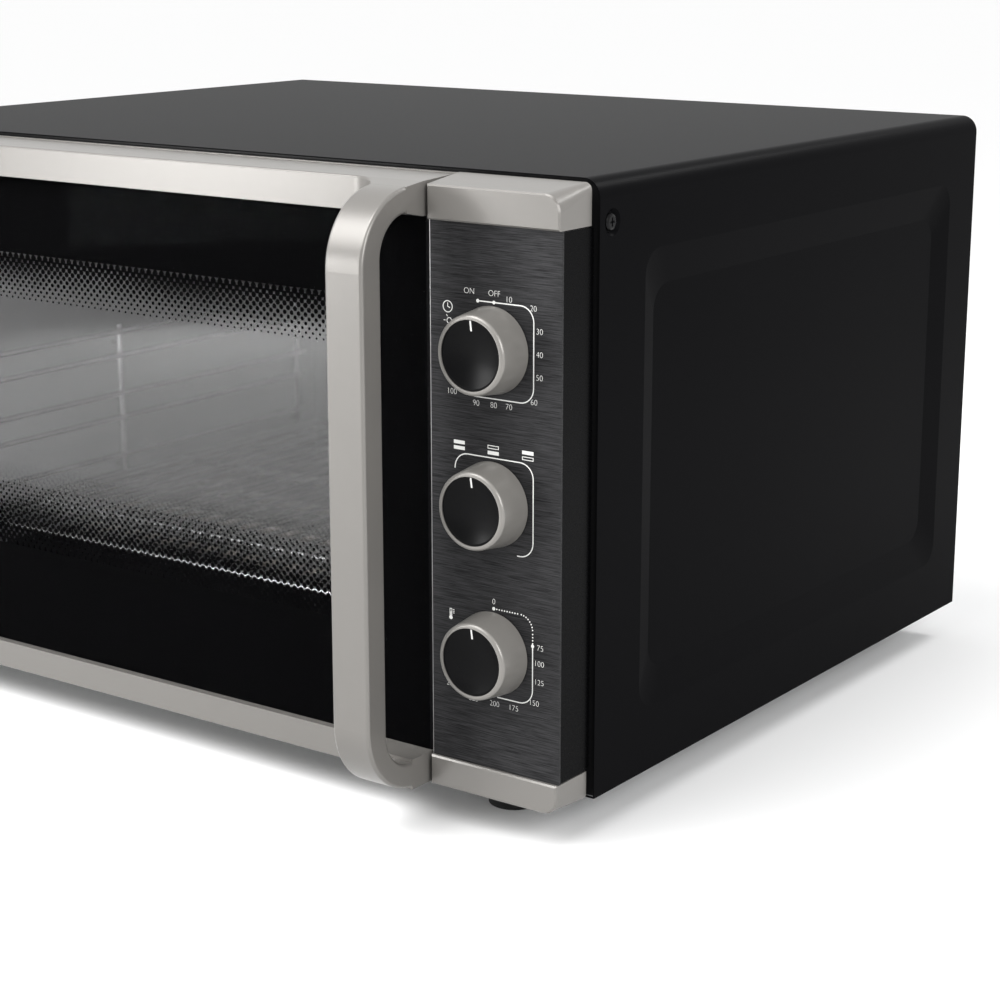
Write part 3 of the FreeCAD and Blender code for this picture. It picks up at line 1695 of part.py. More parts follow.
def feet():
    """Four round feet under the bottom plate, and their screws."""
    height = low + d.case_sheet
    wall, hollow = d.foot_wall, d.foot_recess
    hole = d.screw_shank + d.sheet_fit
    section = [
        (hole, hollow),
        (d.foot_tip - wall, hollow),
        (d.foot_tip - wall, 0),
        (d.foot_tip, 0, d.foot_wall / 3),
        (d.foot_radius, height),
        (hole, height),
    ]
    for name, (x, y) in foot_places().items():
        body = new_body(name)
        turn(body, "XZ", section)
        move(body, x, y, 0)
        keep(body, name)
    reach = plate_top + d.foot_screw_over - hollow
    places = foot_places().values()
    group("foot_screws", [screw("Z", hollow, -1, x, y, reach) for x, y in places])


def side_screws():
    """A screw in the dimple of each side, into the frame's flange."""
    y, z = front + d.dimple_set, high - d.dimple_drop
    seat = right - d.dimple_depth
    group("side_screws", [screw("X", seat, 1, y, z), screw("X", -seat, -1, y, z)])


def rear_screws():
    """Screws down both sides of the rear flange."""
    x = right - d.rear_flange / 2
    places = [(x * sign, z) for sign in (1, -1) for z in rear_screw_heights()]
    group("rear_screws", [screw("Y", back, 1, px, z) for px, z in places])


def rear_spacers():
    """Two hollow posts that keep the rear panel off the wall."""
    x = right - d.spacer_inset
    z = high - d.spacer_drop
    posts = []
    for place in (x, -x):
        post = rod("Y", rear_face, back + d.spacer_depth, place, z, d.spacer_radius)
        inside = d.spacer_radius - d.spacer_wall
        bore = rod("Y", rear_face + d.spacer_wall, back + d.spacer_depth, place, z, inside)
        posts.append(cut(post, bore))
    group("rear_spacers", posts)


def cord_gland():
    """The bush in the rear panel where the supply enters, between two flanges."""
    body = new_body("cord_gland")
    out = d.rear_sheet + d.gland_flange_thick
    section = [
        (d.gland_bore, -d.gland_inside),
        (d.gland_radius, -d.gland_inside),
        (d.gland_radius, d.rear_sheet),
        (d.gland_flange, d.rear_sheet),
        (d.gland_flange, out, d.gland_flange_thick / 2),
        (d.gland_bore, out),
    ]
    turn(body, "XY", section)
    move(body, right - d.gland_inset, rear_inside, low + d.gland_rise)
    keep(body, "cord_gland")


def terminal_block():
    """The ceramic block on the bottom plate, with a screw well for each lead."""
    body = new_body("terminal_block")
    x0 = right - d.gland_inset - d.block_length / 2
    y0 = rear_inside - d.block_set
    outline = rectangle(x0, x0 + d.block_length, y0, y0 + d.block_width)
    top = plate_top + d.block_height
    prism(body, "XY", plate_top, top, outline)
    x = right - d.gland_inset - d.block_pitch * (d.block_ways - 1) / 2
    well = circle(x, y0 + d.block_width / 2, d.block_well)
    first = pocket(body, "XY", top - d.block_height / 2, top, well)
    repeat(body, first, "X", d.block_pitch * (d.block_ways - 1), d.block_ways)
    keep(body, "terminal_block")


def build():
    """Make every piece."""
    outer_casing()
    rear_panel()
    bottom_plate()
    front_frame()
    cavity_liner()
    insulation()
    heat_partition()
    cavity_seal()
    control_housing()
    control_plate()
    panel_cap_top()
    panel_cap_bottom()
    timer_unit()
    mode_switch()
    thermostat_unit()
    thermostat_probe()
    for name, height in element_heights().items():
        heating_element(name + "_element", height)
    element_terminals()
    rack_guide("rack_guide_left", cavity_left, 1)
    rack_guide("rack_guide_right", cavity_right, -1)
    wire_rack()
    drip_tray()
    lamp()
    feet()
    side_screws()
    rear_screws()
    rear_spacers()
    cord_gland()
    terminal_block()
    hinge_bracket("hinge_bracket_lower", lower_arm)
    hinge_bracket("hinge_bracket_upper", upper_arm)
    hinge_pins()
    catch()
    door_frame()
    door_glass()
    inner_glass()
    glass_retainers()
    hinge_bushes()
    door_rail_top()
    door_rail_bottom()
    handle_strap()
    handle_screws()
    for name, height in knob_heights.items():
        knob_shell(name + "_knob", height)
        knob_disc(name + "_knob_disc", height)
        knob_shaft(name + "_knob_shaft", height)


def check():
    """Stop if any object failed or any piece is not a sound solid."""
    faults = []
    for item in doc.Objects:
        if "Invalid" in item.State or "Error" in item.State:
            faults.append(f"{item.Name} {item.State}")
        if item.TypeId == "Sketcher::SketchObject" and not item.FullyConstrained:
            faults.append(f"{item.Name} is not fully constrained")
    for node in nodes:
        shape = node.Shape
        if shape.isNull() or not shape.isValid() or not shape.Solids:
            faults.append(f"{node.Label} has no sound solid")
    if faults:
        raise RuntimeError("; ".join(faults))


def export():
    """Write each piece to a file of its own."""
    os.makedirs("parts", exist_ok=True)
    for node in nodes:
        node.Shape.exportStep(os.path.join("parts", node.Label + ".step"))


build()
doc.recompute()
check()
export()
print(len(nodes), "pieces written")
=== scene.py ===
"""Countertop oven: the finishes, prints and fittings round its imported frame, as a Blender add-on.

Metres, +Z up, -Y to the front, the origin in the middle of the footprint on the counter.
"""
import json
import math

import bmesh
import bpy
from bpy.props import FloatProperty, FloatVectorProperty, PointerProperty
from mathutils import Matrix, Vector


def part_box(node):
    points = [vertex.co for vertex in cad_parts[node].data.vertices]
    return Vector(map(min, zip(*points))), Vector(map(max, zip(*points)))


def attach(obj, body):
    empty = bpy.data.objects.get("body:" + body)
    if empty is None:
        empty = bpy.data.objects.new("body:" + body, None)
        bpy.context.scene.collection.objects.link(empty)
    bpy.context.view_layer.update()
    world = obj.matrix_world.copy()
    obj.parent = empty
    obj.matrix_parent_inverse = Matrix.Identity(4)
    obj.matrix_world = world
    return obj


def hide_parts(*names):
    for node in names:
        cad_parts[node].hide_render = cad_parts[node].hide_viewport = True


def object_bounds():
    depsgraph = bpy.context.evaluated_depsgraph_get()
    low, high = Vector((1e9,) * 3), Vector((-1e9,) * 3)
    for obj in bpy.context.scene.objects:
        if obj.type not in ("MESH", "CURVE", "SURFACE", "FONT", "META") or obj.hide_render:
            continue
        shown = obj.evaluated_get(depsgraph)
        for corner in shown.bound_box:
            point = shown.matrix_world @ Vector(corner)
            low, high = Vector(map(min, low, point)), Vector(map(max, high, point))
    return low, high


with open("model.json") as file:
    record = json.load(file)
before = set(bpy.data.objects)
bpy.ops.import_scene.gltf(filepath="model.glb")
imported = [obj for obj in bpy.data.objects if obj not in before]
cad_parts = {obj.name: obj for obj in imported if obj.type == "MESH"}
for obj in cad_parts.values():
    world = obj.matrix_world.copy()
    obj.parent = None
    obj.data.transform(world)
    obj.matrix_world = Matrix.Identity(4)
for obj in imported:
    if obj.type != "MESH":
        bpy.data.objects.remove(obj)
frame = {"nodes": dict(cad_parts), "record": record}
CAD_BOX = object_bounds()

bl_info = {
    "name": "Countertop Oven",
    "version": (1, 0, 0),
    "blender": (4, 5, 0),
    "location": "3D View > Sidebar > Oven",
    "description": "Dresses the countertop oven in its finishes, prints and fittings",
    "category": "Object",
}

MM = 0.001
DIALS = ("timer", "mode", "thermostat")
CAMERA_SENSOR_MM = 36.0
SAME_PLACE = 1e-6
STRIP_SIDES = ((0, 2), (2, 3), (3, 1), (1, 0))
FINE_LINE = 0.35 * MM
THIN_LINE = 0.4 * MM
ICON_LINE = 0.45 * MM
BOLD_LINE = 0.5 * MM
DOT_RADIUS = 0.95
SMALL_DOT_RADIUS = 0.4


def length(name, description, value):
    """A length that the user can change, in metres, from a default in millimetres."""
    return FloatProperty(name=name, description=description, default=value * MM, unit="LENGTH",
                         subtype="DISTANCE", precision=5)


def colour(name, description, value):
    """A colour that the user can change."""
    return FloatVectorProperty(name=name, description=description, default=value, size=3,
                               subtype="COLOR", min=0.0, max=1.0)


def share(name, description, value, highest=1.0):
    """A plain number from nought to a highest value."""
    return FloatProperty(name=name, description=description, default=value, min=0.0, max=highest)


class OvenColours(bpy.types.PropertyGroup):
    """Colours of the finishes."""

    casing: colour("Casing", "Satin black paint of the casing", (0.004, 0.004, 0.0045))
    silver: colour("Silver", "Lacquer of caps, rails and strap", (0.2, 0.191, 0.179))
    # The knobs wear the same silver lacquer as the caps; this paler copy is painted light that
    # brightens their lit sides.
    knob: colour("Knobs", "Paler lacquer of the knobs", (0.235, 0.225, 0.21))
    gloss: colour("Gloss black", "Housing and knob discs", (0.002, 0.002, 0.0023))
    plate: colour("Plate", "Dark brushed control plate", (0.022, 0.022, 0.023))
    enamel: colour("Grey enamel", "Walls of the cavity", (0.16, 0.16, 0.165))
    print: colour("White print", "Scales on the plate", (0.82, 0.82, 0.8))
    floor: colour("Floor", "Pale floor under the oven", (0.95, 0.95, 0.95))


class OvenWindow(bpy.types.PropertyGroup):
    """Sizes of the print behind the door glass."""

    dots_left: length("Dots left", "Outer left side of the dots", -252.0)
    dots_right: length("Dots right", "Outer right side of the dots", 168.0)
    dots_low: length("Dots low", "Outer low side of the dots", 101.0)
    dots_high: length("Dots high", "Outer high side of the dots", 281.0)
    clear_left: length("Clear left", "Left side of the clear window", -224.0)
    clear_right: length("Clear right", "Right side of the clear window", 140.0)
    clear_low: length("Clear low", "Low side of the clear window", 141.5)
    clear_high: length("Clear high", "High side of the clear window", 254.5)
    pitch: length("Pitch", "Distance between dots along a row", 4.9)
    smallest: length("Smallest dot", "Radius of the dots beside the clear window", 0.65)
    largest: length("Largest dot", "Radius of the dots where they run together", 2.1)
    film: length("Film", "Thickness of the print", 0.06)


class OvenScales(bpy.types.PropertyGroup):
    """Sizes of the scales printed round the dials."""

    line: length("Line", "Width of the printed lines", 0.6)
    digit: length("Digits", "Height of the numbers", 2.85)
    corner: length("Corner", "Radius of the scales' corners", 8.0)
    half: length("Half side", "Distance of a scale's lines from the middle of its dial", 24.6)
    film: length("Film", "Thickness of the print", 0.05)
    # Width of the painted highlight laid along the plate's left edge.
    edge: length("Edge", "Width of the bright edge at the left of the plate", 0.4)
    aside: length("Aside", "How far the scales stand to the right of their dials", 0.8)
    drop: length("Drop", "How far the scales stand below the middle of their dials", 0.35)
    index_low: length("Index low", "Where a knob's white line starts above its middle", 12.2)
    index_high: length("Index high", "Where a knob's white line ends above its middle", 17.6)
    index_width: length("Index width", "Width of a knob's white line", 1.0)


class OvenStage(bpy.types.PropertyGroup):
    """Camera, lamps and floor."""

    camera_place: FloatVectorProperty(name="Camera place", description="Where the camera stands",
                                      default=(0.9086, -1.1253, 0.4745), subtype="TRANSLATION")
    camera_turn: FloatVectorProperty(name="Camera turn", description="How the camera is turned",
                                     default=(math.radians(75.5616), 0.0, math.radians(35.8447)),
                                     subtype="EULER")
    lens: FloatProperty(name="Lens", description="Focal length in millimetres", default=82.05)
    floor_side: FloatProperty(name="Floor side", description="Side of the square floor",
                              default=40.0, unit="LENGTH")
    sun: share("Sun", "Strength of the wide soft sun", 2.0, 10.0)
    softbox: share("Softbox", "Power of the softbox above the door", 11.5, 500.0)
    side_light: share("Side light", "Power of the panel low at the front left", 6.5, 500.0)
    right_light: share("Right light", "Power of the panel at the front right", 20.0, 500.0)
    edge_light: share("Edge light", "Power of the strip behind at the right", 8.0, 500.0)
    fill: share("Fill", "Strength of the even light round the oven", 0.52, 2.0)
    bounce: share("Bounce", "Share of the floor's paleness that lights the oven from below", 0.5)


def node_box(name):
    """Lowest and highest corner of a node of the frame."""
    lowest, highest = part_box(name)
    return Vector(lowest), Vector(highest)


def feed(links, socket, value):
    """Link an output to a socket, or set the socket to a plain value."""
    if isinstance(value, bpy.types.NodeSocket):
        links.new(value, socket)
    else:
        socket.default_value = value


def add_node(tree, kind, **sockets):
    """Add a node to a tree and set or link its inputs."""
    node = tree.nodes.new(kind)
    for name, value in sockets.items():
        feed(tree.links, node.inputs[name.replace("_", " ")], value)
    return node


def add_sum(tree, operation, first, second):
    """Add one sum to a tree and return its result."""
    node = tree.nodes.new("ShaderNodeMath")
    node.operation = operation
    for socket, value in zip(node.inputs, (first, second)):
        feed(tree.links, socket, value)
    return node.outputs[0]


def add_blend(tree, factor, first, second):
    """Add a mix of two colours to a tree and return the mixed colour."""
    node = tree.nodes.new("ShaderNodeMix")
    node.data_type = "RGBA"
    colours = [socket for socket in node.inputs if socket.type == "RGBA"]
    for socket, value in zip((node.inputs[0], *colours), (factor, first, second)):
        feed(tree.links, socket, value)
    return next(socket for socket in node.outputs if socket.type == "RGBA")


class Shader:
    """A material while it is being put together."""

    def __init__(self, name):
        self.material = bpy.data.materials.new(name)
        self.material.use_nodes = True
        self.tree = self.material.node_tree
        self.surface = self.tree.nodes["Principled BSDF"]
        self.place = self.tree.nodes.new("ShaderNodeTexCoord").outputs["Object"]

    def fix(self, **values):
        """Set plain values on the surface's own sockets."""
        for name, value in values.items():
            self.surface.inputs[name.replace("_", " ")].default_value = value
        return self

    def colour(self, rgb):
        """Set a plain base colour."""
        self.surface.inputs["Base Color"].default_value = (*rgb, 1.0)
        return self

    def group(self, shared, **sockets):
        """Place a shared node group, fed with the object's own coordinates."""
        node = self.tree.nodes.new("ShaderNodeGroup")
        node.node_tree = shared
        for name, value in {"Place": self.place, **sockets}.items():
            feed(self.tree.links, node.inputs[name], value)
        return node.outputs

    def link(self, output, name):
        """Feed one of the surface's inputs."""
        self.tree.links.new(output, self.surface.inputs[name])
        return self


def shader_group(name, inputs, outputs):
    """Start a shared shader node group with named inputs and outputs."""
    tree = bpy.data.node_groups.new(name, "ShaderNodeTree")
    face = tree.interface
    face.new_socket("Place", in_out="INPUT", socket_type="NodeSocketVector")
    for label, value in inputs.items():
        kind = "NodeSocketColor" if isinstance(value, tuple) else "NodeSocketFloat"
        face.new_socket(label, in_out="INPUT", socket_type=kind).default_value = value
    for label, kind in outputs.items():
        face.new_socket(label, in_out="OUTPUT", socket_type=kind)
    return tree, tree.nodes.new("NodeGroupInput"), tree.nodes.new("NodeGroupOutput")


def end_grain(tree, start, end, noise, depth, **span):
    """End a grain group: its value between two limits, and the normal of its relief."""
    given = start.outputs
    level = add_node(tree, "ShaderNodeMapRange", Value=noise, To_Min=given["Low"],
                     To_Max=given["High"], **span)
    bump = add_node(tree, "ShaderNodeBump", Strength=given["Bump"], Distance=depth, Height=noise)
    tree.links.new(level.outputs["Result"], end.inputs["Value"])
    tree.links.new(bump.outputs["Normal"], end.inputs["Normal"])
    return tree


GRAIN_LIMITS = {"Low": 0.3, "High": 0.5, "Bump": 0.1}
GRAIN_RESULTS = {"Value": "NodeSocketFloat", "Normal": "NodeSocketVector"}


def fine_grain_group():
    """A fine random grain: a value between two limits, and a bumped normal."""
    tree, start, end = shader_group("fine_grain", {"Scale": 800.0, **GRAIN_LIMITS}, GRAIN_RESULTS)
    noise = add_node(tree, "ShaderNodeTexNoise", Vector=start.outputs["Place"],
                     Scale=start.outputs["Scale"], Detail=3.0, Roughness=0.6)
    return end_grain(tree, start, end, noise.outputs["Fac"], 0.4 * MM)


def brushed_grain_group():
    """Long fine scratches along X: a value between two limits, and a bumped normal."""
    tree, start, end = shader_group("brushed_grain", GRAIN_LIMITS, GRAIN_RESULTS)
    stretch = add_node(tree, "ShaderNodeMapping", Vector=start.outputs["Place"],
                       Scale=(60.0, 400.0, 2300.0))
    noise = add_node(tree, "ShaderNodeTexNoise", Vector=stretch.outputs["Vector"], Scale=1.0,
                     Detail=4.0, Roughness=0.7)
    return end_grain(tree, start, end, noise.outputs["Fac"], 0.2 * MM, From_Min=0.25,
                     From_Max=0.75)


def soft_cloud_group():
    """Slow faint changes over a surface, such as handling leaves: a colour between two."""
    inputs = {"Scale": 12.0, "First": (0.1, 0.1, 0.1, 1.0), "Second": (0.2, 0.2, 0.2, 1.0)}
    tree, start, end = shader_group("soft_cloud", inputs, {"Color": "NodeSocketColor"})
    given = start.outputs
    noise = add_node(tree, "ShaderNodeTexNoise", Vector=given["Place"], Scale=given["Scale"],
                     Detail=5.0)
    mixed = add_blend(tree, noise.outputs["Fac"], given["First"], given["Second"])
    tree.links.new(mixed, end.inputs["Color"])
    return tree


def ray_share(tree, first, *others):
    """One for a ray of any of the named kinds, and nought for the rest."""
    path = tree.nodes.new("ShaderNodeLightPath").outputs
    share_so_far = path[first]
    for name in others:
        share_so_far = add_sum(tree, "MAXIMUM", share_so_far, path[name])
    return share_so_far


GROUPS = {}
MATERIALS = {}
SEEN_RAYS = ("Is Camera Ray", "Is Glossy Ray", "Is Transmission Ray")


def make_groups():
    """Build the shared shader node groups."""
    GROUPS["grain"] = fine_grain_group()
    GROUPS["brushed"] = brushed_grain_group()
    GROUPS["cloud"] = soft_cloud_group()


def shade(rgb, factor):
    """A colour made lighter or darker, as four numbers."""
    return tuple(min(1.0, value * factor) for value in rgb) + (1.0,)


def finish(name, rgb, spread, cloud_scale, grain_scale, roughness, bump, **fixed):
    """A surface whose colour drifts a little, with a fine grain in its gloss and relief."""
    shader = Shader(name).fix(**fixed)
    cloud = shader.group(GROUPS["cloud"], Scale=cloud_scale, First=shade(rgb, 1.0 - spread),
                         Second=shade(rgb, 1.0 + spread))
    grain = shader.group(GROUPS["grain"], Scale=grain_scale, Low=roughness[0], High=roughness[1],
                         Bump=bump)
    shader.link(cloud["Color"], "Base Color").link(grain["Value"], "Roughness")
    return shader.link(grain["Normal"], "Normal").material


def brushed_plate(rgb):
    """Dark plate with long brushed lines across it."""
    shader = Shader("dark_brushed_plate").fix(Metallic=0.4, IOR=1.15)
    grain = shader.group(GROUPS["brushed"], Low=0.0, High=1.0, Bump=0.35)
    cloud = shader.group(GROUPS["cloud"], Scale=9.0, First=shade(rgb, 1.3), Second=shade(rgb, 4.0))
    tint = add_blend(shader.tree, grain["Value"], shade(rgb, 0.05), cloud["Color"])
    rough = add_node(shader.tree, "ShaderNodeMapRange", Value=grain["Value"], To_Min=0.34,
                     To_Max=0.5)
    shader.link(tint, "Base Color").link(rough.outputs["Result"], "Roughness")
    return shader.link(grain["Normal"], "Normal").material


def plain_print(name, rgb):
    """Even ink on the back of glass, which shows no gloss or relief of its own."""
    shader = Shader(name).fix(Roughness=0.6, IOR=1.02)
    cloud = shader.group(GROUPS["cloud"], Scale=6.0, First=shade(rgb, 0.9), Second=shade(rgb, 1.1))
    return shader.link(cloud["Color"], "Base Color").material


def clear_glass(name, tint, bending, haze):
    """Glass that lets light through to what lies behind it, with a haze where it is coated."""
    shader = Shader(name).colour(tint).fix(Roughness=haze, IOR=bending, Transmission_Weight=1.0)
    lit = ray_share(shader.tree, "Is Shadow Ray", "Is Diffuse Ray")
    alpha = add_node(shader.tree, "ShaderNodeMapRange", Value=lit, To_Min=1.0, To_Max=0.06)
    return shader.link(alpha.outputs["Result"], "Alpha").material


def make_materials(colours):
    """Build every finish: colour, spread, cloud and grain scales, roughness, relief, the rest."""
    rows = {
        "casing_paint": (colours.casing, 0.1, 9.0, 900.0, (0.32, 0.4), 0.1, {"IOR": 1.05}),
        "silver_plastic": (colours.silver, 0.03, 30.0, 2600.0, (0.26, 0.32), 0.04,
                           {"Metallic": 0.3}),
        # Paler copy of the silver lacquer for the knobs: painted light for their brighter lit
        # sides.
        "knob_plastic": (colours.knob, 0.03, 30.0, 2600.0, (0.26, 0.32), 0.04, {"Metallic": 0.3}),
        "black_gloss_plastic": (colours.gloss, 0.1, 20.0, 700.0, (0.2, 0.26), 0.01,
                                {"IOR": 1.16}),
        "housing_plastic": (colours.gloss, 0.1, 20.0, 700.0, (0.24, 0.3), 0.01, {"IOR": 1.1}),
        "grey_enamel": (colours.enamel, 0.12, 14.0, 1400.0, (0.5, 0.6), 0.08, {"IOR": 1.3}),
        "black_enamel": ((0.008, 0.008, 0.0085), 0.15, 18.0, 900.0, (0.16, 0.26), 0.03,
                         {"IOR": 1.2}),
        "galvanised_steel": ((0.42, 0.43, 0.44), 0.2, 60.0, 500.0, (0.32, 0.5), 0.1,
                             {"Metallic": 0.9}),
        "plated_steel": ((0.5, 0.5, 0.49), 0.08, 80.0, 1200.0, (0.22, 0.34), 0.05,
                         {"Metallic": 1.0}),
        "black_screw": ((0.006, 0.006, 0.0065), 0.2, 200.0, 1500.0, (0.2, 0.3), 0.05,
                        {"IOR": 1.2}),
        "black_rubber": ((0.012, 0.012, 0.012), 0.2, 60.0, 1800.0, (0.6, 0.75), 0.2,
                         {"Specular_IOR_Level": 0.25}),
        "black_plastic": ((0.014, 0.014, 0.015), 0.15, 50.0, 1600.0, (0.42, 0.55), 0.15,
                          {"Specular_IOR_Level": 0.3}),
        "white_plastic": ((0.68, 0.66, 0.61), 0.04, 40.0, 1200.0, (0.4, 0.5), 0.05, {}),
        "ceramic": ((0.74, 0.7, 0.62), 0.06, 90.0, 1500.0, (0.6, 0.75), 0.1, {}),
        "copper": ((0.6, 0.28, 0.15), 0.1, 70.0, 900.0, (0.25, 0.35), 0.04, {"Metallic": 1.0}),
        "bronze": ((0.42, 0.28, 0.12), 0.15, 120.0, 2000.0, (0.35, 0.5), 0.15, {"Metallic": 1.0}),
        "element_steel": ((0.12, 0.105, 0.095), 0.3, 25.0, 900.0, (0.35, 0.5), 0.1,
                          {"Metallic": 0.8}),
        "chromed_wire": ((0.6, 0.6, 0.61), 0.05, 60.0, 600.0, (0.1, 0.18), 0.02,
                         {"Metallic": 1.0}),
        "glass_wool": ((0.62, 0.52, 0.24), 0.25, 90.0, 260.0, (0.85, 0.95), 0.9, {}),
        # Bright grey film along the plate's left edge: a painted highlight for the edge catching
        # the light.
        "cut_edge": ((0.3, 0.3, 0.3), 0.1, 40.0, 900.0, (0.25, 0.35), 0.02, {"Metallic": 0.8}),
        "scale_print": (colours.print, 0.03, 60.0, 2500.0, (0.5, 0.6), 0.02,
                        {"Specular_IOR_Level": 0.2}),
    }
    for name, (*row, fixed) in rows.items():
        MATERIALS[name] = finish(name, *row, **fixed)
    clear = (0.97, 0.97, 0.97)
    MATERIALS["dark_brushed_plate"] = brushed_plate(colours.plate)
    MATERIALS["window_print"] = plain_print("window_print", (0.002, 0.002, 0.0022))
    MATERIALS["clear_glass"] = clear_glass("clear_glass", clear, 1.46, 0.05)
    MATERIALS["printed_glass"] = clear_glass("printed_glass", clear, 1.02, 0.0)


OWN_FINISH = {"control_housing": "housing_plastic",
              **{dial + "_knob": "knob_plastic" for dial in DIALS}}


def dress_nodes():
    """Give every node of the frame the finish that its record names, or its own one."""
    for row in frame["record"]["subparts"]:
        node = frame["nodes"][row["node"]]
        for place in node.material_slots:
            place.material = MATERIALS[OWN_FINISH.get(row["node"], row["material_slot"])]


def add_piece(name, mesh, finish_name, body, slot, *stands_for):
    """Put a mesh in the scene as a piece that rides on a body."""
    piece = bpy.data.objects.new(name, mesh)
    bpy.context.scene.collection.objects.link(piece)
    mesh.materials.clear()
    mesh.materials.append(MATERIALS[finish_name])
    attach(piece, body)
    if stands_for:
        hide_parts(*stands_for)
    return piece


def mesh_from(work, name):
    """Close a mesh in the making, with its faces pointing outwards."""
    bmesh.ops.recalc_face_normals(work, faces=work.faces)
    mesh = bpy.data.meshes.new(name)
    work.to_mesh(mesh)
    work.free()
    return mesh


def add_prism(work, points, y_front, y_back):
    """Add a flat plate of film with an outline (x, z) between two depths."""
    front = [work.verts.new((x, y_front, z)) for x, z in points]
    back = [work.verts.new((x, y_back, z)) for x, z in points]
    work.faces.new(front)
    work.faces.new(back[::-1])
    count = len(points)
    for i in range(count):
        j = (i + 1) % count
        work.faces.new((front[i], back[i], back[j], front[j]))


def rectangle(x0, z0, x1, z1):
    """The corners of an upright rectangle, as x and z."""
    return [(x0, z0), (x1, z0), (x1, z1), (x0, z1)]


def add_strip(work, rings, closed=False):
    """Join rings of four corners into a strip, with a face at each end unless it is closed."""
    for i in range(len(rings) if closed else len(rings) - 1):
        near, far = rings[i], rings[(i + 1) % len(rings)]
        for j, k in STRIP_SIDES:
            work.faces.new((near[j], near[k], far[k], far[j]))
    if not closed:
        for ring in (rings[0], rings[-1]):
            work.faces.new((ring[0], ring[2], ring[3], ring[1]))


def add_line(work, points, width, y_front, y_back, closed=False):
    """Add a printed line of one width along points (x, z)."""
    count = len(points)
    sharpest = 0.3
    sides = []
    for i, point in enumerate(points):
        here = Vector(point)
        before = Vector(points[i - 1]) if i or closed else None
        after = Vector(points[(i + 1) % count]) if i < count - 1 or closed else None
        into = (here - before).normalized() if before else (after - here).normalized()
        out = (after - here).normalized() if after else into
        mean = (into + out).normalized()
        across = Vector((-mean.y, mean.x)) * (width / 2 / max(sharpest, mean.dot(into)))
        sides.append((here + across, here - across))
    rings = [[work.verts.new((p.x, y, p.y)) for p in pair for y in (y_front, y_back)]
             for pair in sides]
    add_strip(work, rings, closed)


def arc(centre, radius, start, end, steps=8):
    """Points of an arc between two angles in degrees, measured from +x towards +z."""
    points = []
    for i in range(steps + 1):
        angle = math.radians(start + (end - start) * i / steps)
        points.append((centre[0] + radius * math.cos(angle), centre[1] + radius * math.sin(angle)))
    return points


def circle(centre, radius, count=24):
    """Points all round a circle."""
    return arc(centre, radius, 0, 360 - 360 / count, count - 1)


def text_mesh(text, height):
    """A word or number as a flat mesh, centred on the origin, of a given height."""
    curve = bpy.data.curves.new("lettering", "FONT")
    curve.body = text
    curve.align_x = "CENTER"
    curve.size = 1.0
    curve.offset = -0.022  # thins the strokes
    curve.extrude = 0.5
    holder = bpy.data.objects.new("lettering", curve)
    bpy.context.scene.collection.objects.link(holder)
    graph = bpy.context.evaluated_depsgraph_get()
    mesh = bpy.data.meshes.new_from_object(holder.evaluated_get(graph))
    bpy.data.objects.remove(holder)
    lows = [min(v.co[i] for v in mesh.vertices) for i in (0, 1)]
    highs = [max(v.co[i] for v in mesh.vertices) for i in (0, 1)]
    scale = height / (highs[1] - lows[1])
    middle = Vector(((lows[0] + highs[0]) / 2, (lows[1] + highs[1]) / 2, 0))
    mesh.transform(Matrix.Diagonal((scale, scale, 1, 1)) @ Matrix.Translation(-middle))
    return mesh


def add_text(work, text, height, place, y_front, y_back):
    """Add a word or number to a print, centred at a place (x, z)."""
    mesh = text_mesh(text, height)
    upright = Matrix.Rotation(math.radians(90), 4, "X")
    flat = Matrix.Diagonal((1, 1, y_back - y_front, 1))
    middle = Matrix.Translation((place[0], (y_front + y_back) / 2, place[1]))
    mesh.transform(middle @ upright @ flat)
    work.from_mesh(mesh)
    bpy.data.meshes.remove(mesh)


class GeometryTree:
    """A geometry node tree while it is being put together."""

    def __init__(self, name, **inputs):
        self.tree = bpy.data.node_groups.new(name, "GeometryNodeTree")
        face = self.tree.interface
        face.new_socket("Geometry", in_out="INPUT", socket_type="NodeSocketGeometry")
        self.named = {}
        for label, (kind, value) in inputs.items():
            socket = face.new_socket(label.replace("_", " "), in_out="INPUT",
                                     socket_type="NodeSocket" + kind)
            if value is not None:
                socket.default_value = value
            self.named[label] = socket.identifier
        face.new_socket("Geometry", in_out="OUTPUT", socket_type="NodeSocketGeometry")
        self.start = self.tree.nodes.new("NodeGroupInput")
        self.end = self.tree.nodes.new("NodeGroupOutput")

    def given(self, label):
        """The output that carries one of the tree's inputs."""
        return self.start.outputs[label.replace("_", " ")]

    def add(self, kind, **sockets):
        """Add a node and set or link its inputs."""
        return add_node(self.tree, "GeometryNode" + kind, **sockets)

    def sum(self, operation, first, second):
        """The result of one sum."""
        return add_sum(self.tree, operation, first, second)

    def vector(self, x, y, z):
        """Three numbers as a vector."""
        return add_node(self.tree, "ShaderNodeCombineXYZ", X=x, Y=y, Z=z).outputs[0]

    def close(self, geometry):
        """End the tree in real geometry with the finish set on it."""
        real = self.add("RealizeInstances", Geometry=geometry)
        painted = self.add("SetMaterial", Geometry=real.outputs[0], Material=self.given("Finish"))
        self.tree.links.new(painted.outputs[0], self.end.inputs[0])


def run_tree(tree, base_mesh, **values):
    """Run a tree on a mesh with the given inputs and return the plain mesh that it makes."""
    holder = bpy.data.objects.new(tree.tree.name, base_mesh)
    bpy.context.scene.collection.objects.link(holder)
    modifier = holder.modifiers.new("nodes", "NODES")
    modifier.node_group = tree.tree
    for label, value in values.items():
        modifier[tree.named[label]] = value
    graph = bpy.context.evaluated_depsgraph_get()
    mesh = bpy.data.meshes.new_from_object(holder.evaluated_get(graph))
    holder.modifiers.remove(modifier)
    bpy.data.objects.remove(holder)
    return mesh


